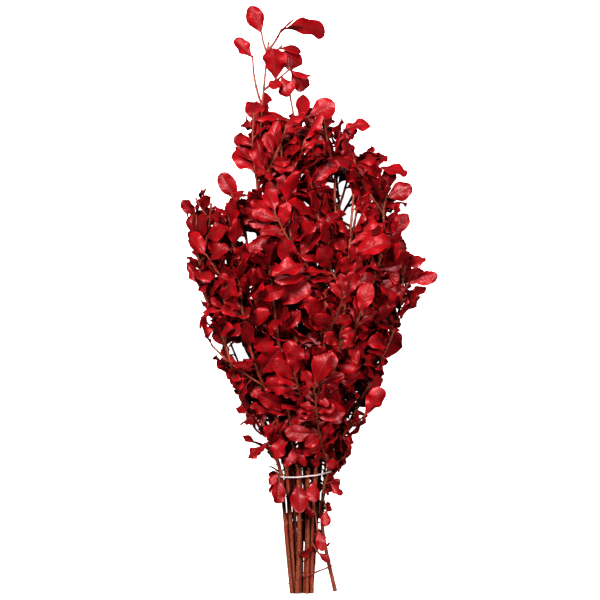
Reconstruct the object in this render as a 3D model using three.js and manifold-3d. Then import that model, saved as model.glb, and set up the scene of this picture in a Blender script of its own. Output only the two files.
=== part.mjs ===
// A bunch of fourteen preserved pittosporum stems, dyed deep red, held by a white elastic band and a
// thin thread, lying on a flat surface. Millimetres, +Z up. The cut ends point along -Y, the leafy tips
// along +Y, and the origin is the middle of the bunch's box, on the surface.
import * as THREE from "three";
import { mergeVertices } from "three/addons/utils/BufferGeometryUtils.js";
import Module from "manifold-3d";

const wasm = await Module();
wasm.setup();

// Draws
const SEED = 5021;
const GOLDEN_ANGLE = THREE.MathUtils.degToRad(137.5);

// Stems and twigs
const STEM_SIDES = 6;
const STEM_STEPS = 12;
const STEM_TIP_RADIUS = 1.1;
const TWIG_SIDES = 3;
const TWIG_STEPS = 3;
const TWIG_ROOT_RADIUS = 1.35;
const TWIG_TIP_RADIUS = 0.9;
const TWIG_LONG = 132;
const TWIG_SHORT = 62;
const TWIG_LEAST = 30;
const TWIG_ALONG = 0.84;
const TWIG_OUT = 0.54;
const TWIG_FIRST = 0.29;
const TWIG_LAST = 0.93;
const TWIG_TRIES = 9;
const TWIG_LIFT = 3;
const BUD_LENGTH = 3.2;

// Leaves
const BLADE_THICKNESS = 0.8;
const LEAF_PITCH = 11.6;
const LEAF_EVERY = 5;
const LEAF_TRIES = 8;
const TIP_LEAF_TRIES = 24;
const LEAF_LENGTH = [38, 54];
const LEAF_HALF_WIDTH = [0.22, 0.29];
const LEAF_ARCH = [-0.45, 1.3];
const LEAF_TWIST = 0.85;
const LEAF_FOLD = [-0.12, 0.45];
const LEAF_WAVE = [0.035, 0.072];
const LEAF_WAVES = [1.8, 2.6];
const LEAF_LAG = [1.5, 4.5];
const STEM_LEAVES_FROM = 0.29;
const TWIG_LEAVES_FROM = 0.2;
const LAST_LEAF = 0.985;
const LEAF_SPREAD = [0.65, 1.45];
const TIP_LEAF_SPREAD = [0.05, 0.45];
const FACE_INWARD = 0.35;
const FACE_OUTWARD = 0.65;
const FACE_ROLL = 0.7;
const LED_KEY = 1000;
const FULL_SIZE_FROM = 190;

// Room between pieces
const CLEARANCE = 0.55;
const ROOT_SHARE = 0.14;
const TWIG_ROOT_ROOM = 13;
const OUTLINE_SLACK = 4;

// Ties
const BAND_RADIUS = 1;
const THREAD_RADIUS = 0.55;
const TIE_GAP = 0.4;
const TIE_DIRECTIONS = 120;
const TIE_STRIDE = 10;
const TIE_SIDES = 5;

// The room that the bunch fills: distance from the cut ends, left edge, right edge and height.
const OUTLINE = [
  [0, -16, 44, 24],
  [60, -22, 38, 40],
  [100, -34, 42, 56],
  [135, -48, 48, 72],
  [165, -62, 58, 92],
  [190, -68, 66, 106],
  [220, -70, 84, 120],
  [255, -88, 91, 134],
  [285, -102, 98, 144],
  [310, -114, 118, 150],
  [335, -118, 132, 154],
  [352, -124, 149, 155],
  [376, -124, 134, 156],
  [425, -126, 114, 154],
  [440, -118, 117, 152],
  [462, -90, 115, 150],
  [480, -80, 98, 146],
  [505, -80, 70, 140],
  [522, -76, 76, 134],
  [536, -60, 40, 134],
  [552, -48, 12, 136],
  [590, -70, 22, 136],
  [626, -74, 24, 134],
  [650, -64, -38, 130],
];

// Places where light shows through the bunch, seen from above: middle and radius. Leaves keep off them.
const OPENINGS = [
  [-62, 457, 14],
  [-90, 436, 11],
  [66, 500, 11],
  [48, 438, 13],
  [54, 416, 10],
  [38, 456, 10],
  [-60, 398, 10],
  [122, 395, 11],
  [-24, 541, 10],
  [-42, 146, 7],
];

// Each stem's route from its cut end to its tip, with twigs that are led to a place on the bunch's edge
// as [share of the route, end of the twig, its leaves], and the number of twigs that follow the general
// rule. A led leaf is [share of its twig, tip, half width over length, arch, way that it faces]. A twig
// with led leaves has no others, and a stem's own leaves by the rule end at leavesTo.
const STEMS = [
  {
    radius: 2.7,
    route: [
      [-5.4, 0, 12],
      [-3, 70, 22],
      [-5, 136, 41],
      [-16, 213, 70],
      [-27, 290, 92],
      [-37, 373, 104],
      [-49, 455, 108],
      [-43, 543, 100],
      [-37, 606, 92],
    ],
    twigs: [
      [
        0.68,
        [-58, 508, 108],
        [
          [1, [-70, 477, 102], 0.24, 0.6, [-0.7, 0.3, 0.6]],
          [0.6, [-61, 468, 116], 0.28, 0.5, [0, 0, 1]],
        ],
      ],
      [0.74, [-53, 528, 114]],
      [0.87, [-54, 591, 98], [[1, [-74, 611, 103], 0.29, 0.3, [-0.2, 0.4, 0.9]]]],
      [
        0.9,
        [-14, 578, 104],
        [
          [0.45, [-31, 601, 113], 0.37, 0.4, [0, 0, 1]],
          [1, [3, 556, 92], 0.33, 0.6, [0.4, 0.2, 0.9]],
          [0.6, [-33, 556, 117], 0.3, 0.5, [0.1, 0.5, 0.9]],
          [1, [10, 571, 117], 0.22, -0.3, [0.7, 0.2, 0.6]],
          [0.7, [-15, 548, 110], 0.38, 0.5, [0.1, 0, 1]],
        ],
      ],
      [
        0.965,
        [-23, 603, 102],
        [
          [0.8, [-1, 598, 98], 0.27, 1, [0, 0.7, 0.7]],
          [0.6, [-2, 583, 90], 0.34, 0.5, [0.3, 0.2, 0.9]],
        ],
      ],
      [0.98, [-44, 617, 92], [[1, [-57, 648, 98], 0.3, 0.35, [0.1, 0.1, 1]]]],
      [
        0.985,
        [-23, 621, 98],
        [
          [0.55, [-7, 633, 119], 0.17, 0.5, [0, 0.9, 0.4]],
          [1, [25, 618, 84], 0.25, 1.2, [0.1, 0.75, 0.65]],
        ],
      ],
    ],
    leaves: [[0.23, [-2, 91, 55], 0.26, -0.4, [0, 0, 1]]],
    leavesTo: 0.84,
    more: 3,
  },
  {
    radius: 2.3,
    route: [
      [5.6, 0, 11.8],
      [7, 70, 23],
      [7, 136, 41],
      [18, 213, 72],
      [26, 301, 105],
      [23, 378, 115],
      [13, 439, 112],
      [-2, 494, 104],
      [-13, 549, 96],
    ],
    twigs: [
      [0.2, [-1, 96, 43]],
      [
        0.92,
        [6, 526, 106],
        [
          [1, [36, 541, 112], 0.36, 0.3, [0, -0.1, 1]],
          [0.5, [1, 551, 112], 0.3, 0.4, [-0.2, 0, 1]],
        ],
      ],
    ],
    leavesTo: 0.94,
    more: 5,
  },
  {
    radius: 2.3,
    route: [
      [-11.3, 0, 11.7],
      [-19, 81, 24],
      [-24, 136, 34],
      [-44, 191, 50],
      [-73, 238, 62],
      [-89, 293, 70],
      [-108, 334, 74],
      [-114, 378, 76],
      [-116, 418, 74],
    ],
    twigs: [
      [
        0.21,
        [-27, 134, 44],
        [
          [1, [-36, 122, 46], 0.34, 0.5, [-0.3, 0, 1]],
          [0.7, [-27, 101, 44], 0.28, 0.5, [-0.2, 0, 1]],
        ],
      ],
      [0.28, [-37, 166, 54], [[1, [-59, 151, 58], 0.3, 1.2, [-0.2, 0.7, 0.6]]]],
      [0.4, [-66, 190, 60]],
      [0.74, [-106, 350, 84]],
    ],
    leaves: [[1, [-131, 436, 82], 0.3, 0.4, [-0.3, 0, 1]]],
    leavesTo: 0.94,
    more: 5,
  },
  {
    radius: 2.4,
    route: [
      [-7.9, 0, 7],
      [-13, 81, 21],
      [-17, 136, 38],
      [-28, 197, 64],
      [-48, 246, 86],
      [-62, 295, 100],
      [-68, 345, 108],
      [-76, 395, 108],
      [-82, 430, 102],
    ],
    twigs: [],
    more: 5,
  },
  {
    radius: 2.2,
    route: [
      [-5.4, 0, 1.9],
      [-8, 70, 12],
      [-11.5, 136, 26],
      [-28, 213, 46],
      [-44, 290, 62],
      [-53, 340, 74],
      [-59, 378, 82],
      [-64, 412, 88],
      [-70, 434, 88],
    ],
    twigs: [],
    leaves: [[1, [-89, 465, 96], 0.26, 0.3, [-0.3, 0.3, 0.9]]],
    leavesTo: 0.94,
    more: 5,
  },
  {
    radius: 2.3,
    route: [
      [-2.6, 0, 6.8],
      [-2, 70, 16.5],
      [-2, 136, 31],
      [-3, 213, 60],
      [-7, 290, 92],
      [-10, 356, 116],
      [-14, 411, 122],
      [-20, 461, 118],
      [-24, 502, 110],
    ],
    twigs: [],
    more: 5,
  },
  {
    radius: 2.3,
    route: [
      [8.2, 0, 6.8],
      [11, 70, 17.5],
      [13, 136, 33],
      [16, 197, 58],
      [32, 240, 86],
      [42, 285, 108],
      [48, 334, 120],
      [52, 389, 120],
      [56, 439, 112],
    ],
    twigs: [],
    more: 5,
  },
  {
    radius: 2.2,
    route: [
      [5.2, 0, 1.9],
      [10, 70, 12],
      [17, 136, 23],
      [33, 213, 46],
      [55, 285, 68],
      [78, 345, 86],
      [90, 392, 92],
      [88, 428, 90],
      [84, 470, 84],
    ],
    twigs: [[0.84, [92, 438, 96], [[1, [120, 451, 102], 0.36, 0.4, [0, -0.1, 1]]]]],
    leaves: [[1, [115, 463, 94], 0.32, 0.8, [0, 0.6, 0.7]]],
    leavesTo: 0.93,
    more: 5,
  },
  {
    radius: 2.2,
    route: [
      [11, 0, 11.7],
      [12, 70, 23],
      [15, 136, 41],
      [26, 213, 66],
      [36, 290, 82],
      [40, 367, 90],
      [36, 433, 92],
      [38, 488, 90],
      [42, 508, 88],
    ],
    twigs: [
      [0.1, [18, 46, 26]],
      [0.17, [17, 72, 32], [[1, [23, 48, 35], 0.24, 0.4, [0.3, 0, 1]]]],
      [
        0.84,
        [57, 474, 94],
        [
          [1, [94, 481, 94], 0.24, 0.9, [0, 0.75, 0.6]],
          [1, [86, 464, 90], 0.33, 0.3, [0, 0, 1]],
        ],
      ],
    ],
    leaves: [
      [1, [75, 517, 88], 0.24, 1.1, [0, 0.8, 0.5]],
      [0.235, [12, 103, 50], 0.28, 0.5, [0.2, 0, 1]],
    ],
    leavesTo: 0.94,
    more: 5,
  },
  {
    radius: 2.3,
    route: [
      [37, 2, 1.9],
      [29, 37, 6.5],
      [22.5, 76, 14],
      [25, 120, 30],
      [37, 158, 42],
      [64, 213, 56],
      [91, 268, 66],
      [106, 310, 72],
      [113, 362, 74],
    ],
    twigs: [
      [0.33, [27, 94, 33], [[1, [25, 75, 37], 0.3, 0.5, [0.3, 0, 1]]]],
      [0.38, [31, 124, 42], [[1, [45, 111, 44], 0.32, 0.6, [0.2, 0.5, 0.8]]]],
      [0.45, [46, 152, 54]],
      [0.56, [68, 198, 70], [[1, [89, 229, 78], 0.26, 0.4, [0.1, -0.1, 1]]]],
      [
        0.9,
        [116, 343, 84],
        [
          [1, [149, 352, 86], 0.24, 0.6, [-0.1, 0.75, 0.65]],
          [1, [131, 362, 100], 0.2, 0.7, [-0.2, 0.9, 0.3]],
        ],
      ],
    ],
    leaves: [[1, [136, 371, 82], 0.32, 1.1, [0, 0.6, 0.7]]],
    leavesTo: 0.94,
    more: 5,
  },
  {
    radius: 2.2,
    route: [
      [-10.5, 0, 1.9],
      [-14, 70, 11],
      [-18, 136, 19],
      [-36, 213, 25],
      [-62, 279, 27],
      [-82, 334, 27],
      [-94, 380, 25],
    ],
    twigs: [[0.58, [-78, 318, 3]]],
    more: 4,
  },
  {
    radius: 2.2,
    route: [
      [0, 0, 1.9],
      [-0.9, 35, 6.2],
      [1, 75, 11],
      [3, 136, 17],
      [-6, 213, 23],
      [-22, 301, 28],
      [-28, 389, 32],
      [-28, 455, 34],
      [-22, 515, 34],
    ],
    twigs: [[0.6, [-20, 376, 3]]],
    more: 4,
  },
  {
    radius: 2.2,
    route: [
      [10.4, 0, 1.9],
      [15.5, 70, 9],
      [20, 136, 15],
      [27, 213, 21],
      [40, 301, 27],
      [45, 372, 32],
      [42, 422, 34],
      [38, 462, 34],
    ],
    twigs: [[0.52, [42, 324, 3]]],
    more: 4,
  },
  {
    radius: 2.2,
    route: [
      [2.9, 0, 6.8],
      [5.5, 70, 16.5],
      [7, 136, 25],
      [44, 213, 30],
      [72, 279, 32],
      [92, 334, 34],
      [103, 380, 32],
    ],
    twigs: [[0.5, [70, 262, 3]]],
    more: 4,
  },
];

// The ties lie in planes that lean: distance from the cut ends, and slope across and up.
const BAND_PLANE = { along: 136.5, across: 0.11, up: -0.35, height: 26 };
const THREAD_PLANE = { along: 17.4, across: 0.38, up: 0, height: 8 };
const THREADED = [2, 7, 8, 9, 10, 13, 14];

const UP = new THREE.Vector3(0, 0, 1);

// The same keys always give the same number from 0 to 1.
function draw(...keys) {
  let hash = SEED;
  for (const key of keys) {
    hash = Math.imul(hash ^ (key + 1), 0x9e3779b1);
    hash ^= hash >>> 15;
    hash = Math.imul(hash, 0x85ebca77);
    hash ^= hash >>> 13;
  }
  return (hash >>> 0) / 2 ** 32;
}

function between(low, high, ...keys) {
  return low + (high - low) * draw(...keys);
}

// Left edge, right edge and height of the bunch at a distance from the cut ends.
function roomAt(y) {
  const last = OUTLINE.length - 1;
  const above = OUTLINE.findIndex((row) => row[0] >= y);
  const next = above < 0 ? last : Math.max(1, above);
  const [y0, ...low] = OUTLINE[next - 1];
  const [y1, ...high] = OUTLINE[next];
  const share = THREE.MathUtils.clamp((y - y0) / (y1 - y0), 0, 1);
  const [left, right, height] = low.map((value, i) => THREE.MathUtils.lerp(value, high[i], share));
  return { left, right, height };
}

// True where a point lies within the bunch's outline and under its rounded top.
function insideBunch(point) {
  const { left, right, height } = roomAt(point.y);
  const half = (right - left) / 2 + OUTLINE_SLACK;
  const across = (point.x - (left + right) / 2) / half;
  const past = point.y > OUTLINE[OUTLINE.length - 1][0];
  return !past && Math.abs(across) <= 1 && point.z <= height * Math.sqrt(1 - 0.6 * across ** 2);
}

// A direction square to an axis: 0 is level, a quarter turn is upwards.
function radial(axis, angle) {
  const level = new THREE.Vector3().crossVectors(axis, UP).normalize();
  const upwards = new THREE.Vector3().crossVectors(level, axis);
  return level.multiplyScalar(Math.cos(angle)).addScaledVector(upwards, Math.sin(angle));
}

// A closed mesh as a solid that can be joined and cut.
function solidFrom(points, triangles) {
  const geometry = new THREE.BufferGeometry().setFromPoints(points);
  geometry.setIndex(triangles.flat());
  const merged = mergeVertices(geometry, 1e-4);
  return new wasm.Manifold(
    new wasm.Mesh({
      numProp: 3,
      vertProperties: merged.attributes.position.array,
      triVerts: new Uint32Array(merged.index.array),
    }),
  );
}

// A ring of corners round each step of a curve, joined by flat sides.
function sleeve(rings, sides, closed) {
  const triangles = [];
  const last = closed ? rings.length : rings.length - 1;
  for (let i = 0; i < last; i += 1) {
    const here = i * sides;
    const there = ((i + 1) % rings.length) * sides;
    for (let k = 0; k < sides; k += 1) {
      const next = (k + 1) % sides;
      triangles.push([here + k, here + next, there + next], [here + k, there + next, there + k]);
    }
  }
  return triangles;
}

// A place on the straight pieces between an axis's points, and the axis's direction there.
function placeOn(points, share) {
  const reach = THREE.MathUtils.clamp(share, 0, 1) * (points.length - 1);
  const before = Math.min(Math.floor(reach), points.length - 2);
  const point = points[before].clone().lerp(points[before + 1], reach - before);
  const back = points[Math.max(0, Math.round(reach) - 1)];
  const ahead = points[Math.min(points.length - 1, Math.round(reach) + 1)];
  return { point, along: ahead.clone().sub(back).normalize() };
}

// A stem or twig: it tapers along its axis, is cut square at its root and ends in a small bud.
function limb(axis, { sides, rootRadius, tipRadius, grow = 0 }) {
  const steps = axis.length - 1;
  const rings = axis.map((centre, i) => {
    const { along } = placeOn(axis, i / steps);
    const radius = THREE.MathUtils.lerp(rootRadius, tipRadius, i / steps) + grow;
    return Array.from({ length: sides }, (_, k) => {
      const corner = centre.clone().addScaledVector(radial(along, (-k / sides) * 2 * Math.PI), radius);
      corner.z = Math.max(corner.z, 0);
      return corner;
    });
  });
  const points = rings.flat();
  const triangles = sleeve(rings, sides, false);
  for (let k = 1; k < sides - 1; k += 1) triangles.push([0, k + 1, k]);
  const tip = points.length;
  const end = placeOn(axis, 1);
  points.push(end.point.addScaledVector(end.along, BUD_LENGTH + grow));
  const lastRing = tip - sides;
  for (let k = 0; k < sides; k += 1) triangles.push([lastRing + k, lastRing + ((k + 1) % sides), tip]);
  return solidFrom(points, triangles);
}

// Half the blade's width at a share of its length: widest past the middle, blunt at the tip.
function blunt(share) {
  return Math.sin(Math.PI * share ** 1.3) ** 0.75;
}

// The middle of the blade and its upward direction, at a share of its length and, from -1 to 1, of its
// half width. The rib arches back, the blade turns about it, and its margins fold and wave.
function bladeAt(leaf, share, across) {
  const bend = leaf.arch * share;
  const reach = Math.abs(leaf.arch) < 1e-6 ? share : Math.sin(bend) / leaf.arch;
  const drop = Math.abs(leaf.arch) < 1e-6 ? 0 : (1 - Math.cos(bend)) / leaf.arch;
  const side = new THREE.Vector3().crossVectors(leaf.face, leaf.along);
  const normal = leaf.face.clone().multiplyScalar(Math.cos(bend));
  normal.addScaledVector(leaf.along, Math.sin(bend));
  const turn = leaf.twist * share;
  const turnedSide = side.clone().multiplyScalar(Math.cos(turn)).addScaledVector(normal, Math.sin(turn));
  const turnedNormal = normal.multiplyScalar(Math.cos(turn)).addScaledVector(side, -Math.sin(turn));
  const width = leaf.halfWidth * blunt(share) * across;
  const swell = Math.sin(2 * Math.PI * leaf.waves * share + leaf.phase + (across > 0 ? 0 : leaf.lag));
  const loose = Math.min(1, 4 * share * (1.25 - share));
  const lift = leaf.fold * Math.abs(width) + leaf.wave * across ** 2 * swell * loose;
  const point = leaf.root
    .clone()
    .addScaledVector(leaf.along, leaf.length * reach)
    .addScaledVector(leaf.face, -leaf.length * drop)
    .addScaledVector(turnedSide, width)
    .addScaledVector(turnedNormal, lift);
  return { point, normal: turnedNormal };
}

// Corners of the faceted blade, as shares of its length and half width, and its faces seen from above.
const BLADE_CORNERS = [
  [0, 0],
  [0.42, -1.06],
  [0.78, -1.1],
  [1, 0],
  [0.9, 1.12],
  [0.66, 1.04],
  [0.36, 1.02],
  [0.62, 0],
];
const BLADE_FACES = [
  [0, 1, 6],
  [1, 7, 6],
  [1, 2, 7],
  [2, 3, 7],
  [3, 4, 7],
  [4, 5, 7],
  [5, 6, 7],
];
const BLADE_MARGIN = 7;

// The blade as a thin solid. Where it would sink into the surface it lies flat on it.
function blade(leaf, { from = 0, grow = 0 } = {}) {
  const half = BLADE_THICKNESS / 2;
  const wide = { ...leaf, halfWidth: leaf.halfWidth + grow, length: leaf.length + grow };
  const upper = [];
  const lower = [];
  for (const [share, across] of BLADE_CORNERS) {
    const hand = leaf.mirrored ? -across : across;
    const { point, normal } = bladeAt(wide, share === 0 ? from : share, hand);
    if (point.z < half) {
      point.z = half;
      normal.set(0, 0, Math.sign(leaf.face.z) || 1);
    }
    upper.push(point.clone().addScaledVector(normal, half + grow));
    lower.push(point.clone().addScaledVector(normal, -half - grow));
  }
  const points = [...upper, ...lower];
  if (grow === 0) for (const point of points) point.z = Math.max(point.z, 0);
  const count = upper.length;
  const triangles = BLADE_FACES.map((face) => [...face]);
  triangles.push(...BLADE_FACES.map(([a, b, c]) => [a + count, c + count, b + count]));
  for (let k = 0; k < BLADE_MARGIN; k += 1) {
    const next = (k + 1) % BLADE_MARGIN;
    triangles.push([k, k + count, next + count], [k, next + count, next]);
  }
  const facing = leaf.mirrored ? triangles.map(([a, b, c]) => [a, c, b]) : triangles;
  return solidFrom(points, facing);
}

// What stands already, with its box, so that only near neighbours are compared.
const placed = [];

function boxOf(solid) {
  const { min, max } = solid.boundingBox();
  return new THREE.Box3(new THREE.Vector3(...min), new THREE.Vector3(...max));
}

function keep(solid, owner) {
  placed.push({ solid, owner, box: boxOf(solid) });
  return solid;
}

// True where a shape meets nothing that stands already, its own stem's parts left out if it is named.
function isClear(shape, owner = null) {
  const box = boxOf(shape);
  return placed
    .filter((other) => other.owner !== owner && other.box.intersectsBox(box))
    .every((other) => {
      const common = shape.intersect(other.solid);
      const free = common.isEmpty();
      common.delete();
      return free;
    });
}

// Keeps a new shape of a stem if the room that it needs is clear, and its root of all other stems.
function keepIfClear(stem, shape, room) {
  const free = isClear(room) && isClear(shape, stem.number);
  room.delete();
  if (free) stem.solids.push(keep(shape, stem.number));
  else shape.delete();
  return free;
}

// The share, end and leaves of twig k of a stem, or nothing where the twig follows the rule.
function led(stem, k) {
  return stem.twigs[k] ?? [];
}

// The axis of twig k of a stem. A led twig goes to its end; the others spread by the golden angle.
function twigAxis(stem, k, attempt) {
  const [ledShare, ledEnd] = led(stem, k);
  const order = k - stem.twigs.length;
  const spread = (order + 0.6 * draw(stem.number, k, 1)) / stem.more;
  const share = ledShare ?? THREE.MathUtils.lerp(TWIG_FIRST, TWIG_LAST, spread);
  const { point: root, along } = placeOn(stem.axis, share);
  const swing = attempt * 0.7 * (attempt % 2 ? 1 : -1);
  const out = radial(along, k * GOLDEN_ANGLE + between(0, 2 * Math.PI, stem.number, 2) + swing);
  const full = THREE.MathUtils.lerp(TWIG_LONG, TWIG_SHORT, share) * between(0.75, 1.15, stem.number, k, 3);
  const length = full * (1 - 0.05 * attempt);
  const end = ledEnd
    ? new THREE.Vector3(...ledEnd)
    : root.clone().addScaledVector(along, TWIG_ALONG * length).addScaledVector(out, TWIG_OUT * length);
  end.z = Math.max(end.z, TWIG_LIFT);
  const reach = end.clone().sub(root);
  const middle = root.clone().addScaledVector(reach, 0.5).addScaledVector(out, 0.1 * reach.length());
  middle.z = Math.max(middle.z, TWIG_LIFT);
  return new THREE.QuadraticBezierCurve3(root, middle, end).getPoints(TWIG_STEPS);
}

function lengthOf(axis) {
  return axis.slice(1).reduce((sum, point, i) => sum + point.distanceTo(axis[i]), 0);
}

// Grows a stem's twigs where they stay in the bunch and clear of what stands already.
function growTwigs(stem) {
  for (let k = 0; k < stem.twigs.length + stem.more; k += 1) {
    for (let attempt = 0; attempt < TWIG_TRIES; attempt += 1) {
      const axis = twigAxis(stem, k, attempt);
      const length = lengthOf(axis);
      const free = length > TWIG_LEAST && insideBunch(axis[TWIG_STEPS]);
      if (k >= stem.twigs.length && !free) continue;
      const shape = { sides: TWIG_SIDES, rootRadius: TWIG_ROOT_RADIUS, tipRadius: TWIG_TIP_RADIUS };
      const beyond = [placeOn(axis, TWIG_ROOT_ROOM / length).point, ...axis.slice(1)];
      if (!keepIfClear(stem, limb(axis, shape), limb(beyond, { ...shape, grow: CLEARANCE }))) continue;
      const leafy = { number: k + 1, from: TWIG_LEAVES_FROM, to: LAST_LEAF, led: led(stem, k)[2] ?? [] };
      stem.axes.push({ ...leafy, points: axis, length });
      break;
    }
  }
}

// How a leaf is wide, turned, folded and waved, drawn by its key.
function formOf(key, length) {
  return {
    length,
    twist: between(-LEAF_TWIST, LEAF_TWIST, ...key, 103),
    fold: between(...LEAF_FOLD, ...key, 104),
    wave: length * between(...LEAF_WAVE, ...key, 105),
    waves: between(...LEAF_WAVES, ...key, 106),
    phase: between(0, 6, ...key, 107),
    lag: between(...LEAF_LAG, ...key, 108),
    mirrored: draw(...key, 109) < 0.5,
  };
}

// A leaf at site number i of an axis. Each new attempt turns and rolls it anew and makes it smaller.
function leafAt(stem, axis, i, sites, attempt) {
  const key = [stem.number, axis.number, i];
  const share = THREE.MathUtils.lerp(axis.from, axis.to, sites > 1 ? i / (sites - 1) : 1);
  const { point: root, along } = placeOn(axis.points, share);
  const last = i === sites - 1 && axis.to === LAST_LEAF;
  const start = between(0, 6, stem.number, axis.number, 4);
  const side = start + i * GOLDEN_ANGLE + attempt * between(0.5, 1, ...key, 5 + attempt);
  const spread = between(...(last ? TIP_LEAF_SPREAD : LEAF_SPREAD), ...key, 20 + attempt);
  const out = radial(along, side);
  const direction = along.clone().multiplyScalar(Math.cos(spread)).addScaledVector(out, Math.sin(spread));
  const inward = along.clone().multiplyScalar(Math.sin(spread)).addScaledVector(out, -Math.cos(spread));
  const { left, right, height } = roomAt(root.y);
  const outward = new THREE.Vector3(root.x - (left + right) / 2, 0, 1.3 * (root.z - 0.45 * height));
  outward.normalize();
  const roll = [40, 60, 80].map((turn) => between(-FACE_ROLL, FACE_ROLL, ...key, turn + attempt));
  const face = inward
    .multiplyScalar(FACE_INWARD)
    .addScaledVector(outward, FACE_OUTWARD)
    .add(new THREE.Vector3(...roll));
  face.addScaledVector(direction, -face.dot(direction)).normalize();
  const young = (1 - 0.15 * share ** 3) * THREE.MathUtils.clamp(root.y / FULL_SIZE_FROM, 0.4, 1);
  const length = between(...LEAF_LENGTH, ...key, 100) * young * Math.max(0.55, 1 - 0.04 * attempt);
  const halfWidth = length * between(...LEAF_HALF_WIDTH, ...key, 101);
  const arch = between(...LEAF_ARCH, ...key, 102);
  return { ...formOf(key, length), root, along: direction, face, halfWidth, arch };
}

// A leaf that is led to a place: it leaves its axis at a share, arches, and its tip ends at that place.
function ledLeaf(stem, axis, number) {
  const [share, tip, wide, arch, facing] = axis.led[number];
  const { point: root } = placeOn(axis.points, share);
  const chord = new THREE.Vector3(...tip).sub(root);
  const length = (chord.length() * arch) / 2 / Math.sin(arch / 2);
  chord.normalize();
  const face = new THREE.Vector3(...facing);
  face.addScaledVector(chord, -face.dot(chord)).normalize();
  const along = chord.clone().multiplyScalar(Math.cos(arch / 2)).addScaledVector(face, Math.sin(arch / 2));
  face.multiplyScalar(Math.cos(arch / 2)).addScaledVector(chord, -Math.sin(arch / 2));
  const form = formOf([stem.number, axis.number, LED_KEY + number], length);
  return { ...form, root, along, face, halfWidth: wide * length, arch };
}

// True where a leaf stays in the bunch, and lies on the surface rather than stands in it.
function leafFits(leaf) {
  const tip = bladeAt(leaf, 1, 0).point;
  const middle = bladeAt(leaf, 0.55, 0).point;
  const inside = [tip, middle].every((point) => {
    const offOpenings = OPENINGS.every(([x, y, radius]) => Math.hypot(point.x - x, point.y - y) > radius);
    return offOpenings && insideBunch(point);
  });
  const level = Math.abs(leaf.face.z) > 0.5;
  return inside && (level || Math.min(tip.z, middle.z - leaf.halfWidth) > 0);
}

// Keeps a leaf if it is clear, with room left round its blade.
function keepLeaf(stem, leaf) {
  return keepIfClear(stem, blade(leaf), blade(leaf, { from: ROOT_SHARE, grow: CLEARANCE }));
}

// Puts leaves along one axis by the rule, at the last site and every fifth before it.
function growLeaves(stem, axis) {
  if (axis.number > 0 && axis.led.length > 0) return;
  const run = axis.length * (axis.to - axis.from);
  const sites = Math.max(2, Math.round(run / LEAF_PITCH) + 1);
  for (let i = sites - 1; i >= 0; i -= 1) {
    if ((sites - 1 - i) % LEAF_EVERY !== 0) continue;
    const tries = i === sites - 1 ? TIP_LEAF_TRIES : LEAF_TRIES;
    for (let attempt = 0; attempt < tries; attempt += 1) {
      const leaf = leafAt(stem, axis, i, sites, attempt);
      if (leafFits(leaf) && keepLeaf(stem, leaf)) break;
    }
  }
}

// Where a leaning plane cuts a stem, found by halving.
function cutThrough(axis, plane) {
  const ahead = ({ x, y, z }) => y - plane.along - plane.across * x - plane.up * (z - plane.height);
  let low = 0;
  let high = 0.6;
  for (let i = 0; i < 40; i += 1) {
    const middle = (low + high) / 2;
    if (ahead(placeOn(axis, middle).point) < 0) low = middle;
    else high = middle;
  }
  return { point: placeOn(axis, low).point, share: low };
}

// A closed loop of round line, taut round the outermost stems where its plane cuts them.
function tie(stems, plane, lineRadius) {
  const cuts = stems.map((stem) => {
    const { point, share } = cutThrough(stem.axis, plane);
    const radius = THREE.MathUtils.lerp(stem.radius, STEM_TIP_RADIUS, share);
    return { point, reach: radius + TIE_GAP + lineRadius };
  });
  const supports = Array.from({ length: TIE_DIRECTIONS }, (_, i) => {
    const turn = (i / TIE_DIRECTIONS) * 2 * Math.PI;
    const out = new THREE.Vector3(Math.cos(turn), 0, Math.sin(turn));
    const push = (cut) => cut.point.x * out.x + cut.point.z * out.z + cut.reach;
    const outermost = cuts.reduce((best, cut) => (push(cut) > push(best) ? cut : best));
    return { out, outermost };
  });
  const bends = supports.filter(({ outermost }, i) => {
    const before = supports.at(i - 1).outermost;
    const after = supports[(i + 1) % TIE_DIRECTIONS].outermost;
    return i % TIE_STRIDE === 0 || outermost !== before || outermost !== after;
  });
  const rings = bends.map(({ out, outermost }) => {
    const centre = outermost.point.clone().addScaledVector(out, outermost.reach);
    centre.y = plane.along + plane.across * centre.x + plane.up * (centre.z - plane.height);
    return Array.from({ length: TIE_SIDES }, (_, k) => {
      const roll = (k / TIE_SIDES) * 2 * Math.PI;
      const corner = centre.clone().addScaledVector(out, lineRadius * Math.cos(roll));
      corner.y += lineRadius * Math.sin(roll);
      corner.z = Math.max(corner.z, 0);
      return corner;
    });
  });
  return keep(solidFrom(rings.flat(), sleeve(rings, TIE_SIDES, true)), "tie");
}

// A solid as a mesh of its own, moved so that the bunch's box has its middle over the origin.
function meshOf(name, solid, material, shift) {
  const { vertProperties, triVerts } = solid.getMesh();
  const geometry = new THREE.BufferGeometry();
  geometry.setAttribute("position", new THREE.BufferAttribute(new Float32Array(vertProperties), 3));
  geometry.setIndex(new THREE.BufferAttribute(new Uint32Array(triVerts), 1));
  geometry.computeVertexNormals();
  const mesh = new THREE.Mesh(geometry, material);
  mesh.name = name;
  mesh.position.copy(shift);
  return mesh;
}

const leafRed = new THREE.MeshStandardMaterial({ color: 0x8c0a12, roughness: 0.45, metalness: 0 });
const elasticWhite = new THREE.MeshStandardMaterial({ color: 0xe6dfe0, roughness: 0.5, metalness: 0 });
const threadBrown = new THREE.MeshStandardMaterial({ color: 0x6b2418, roughness: 0.8, metalness: 0 });

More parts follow.
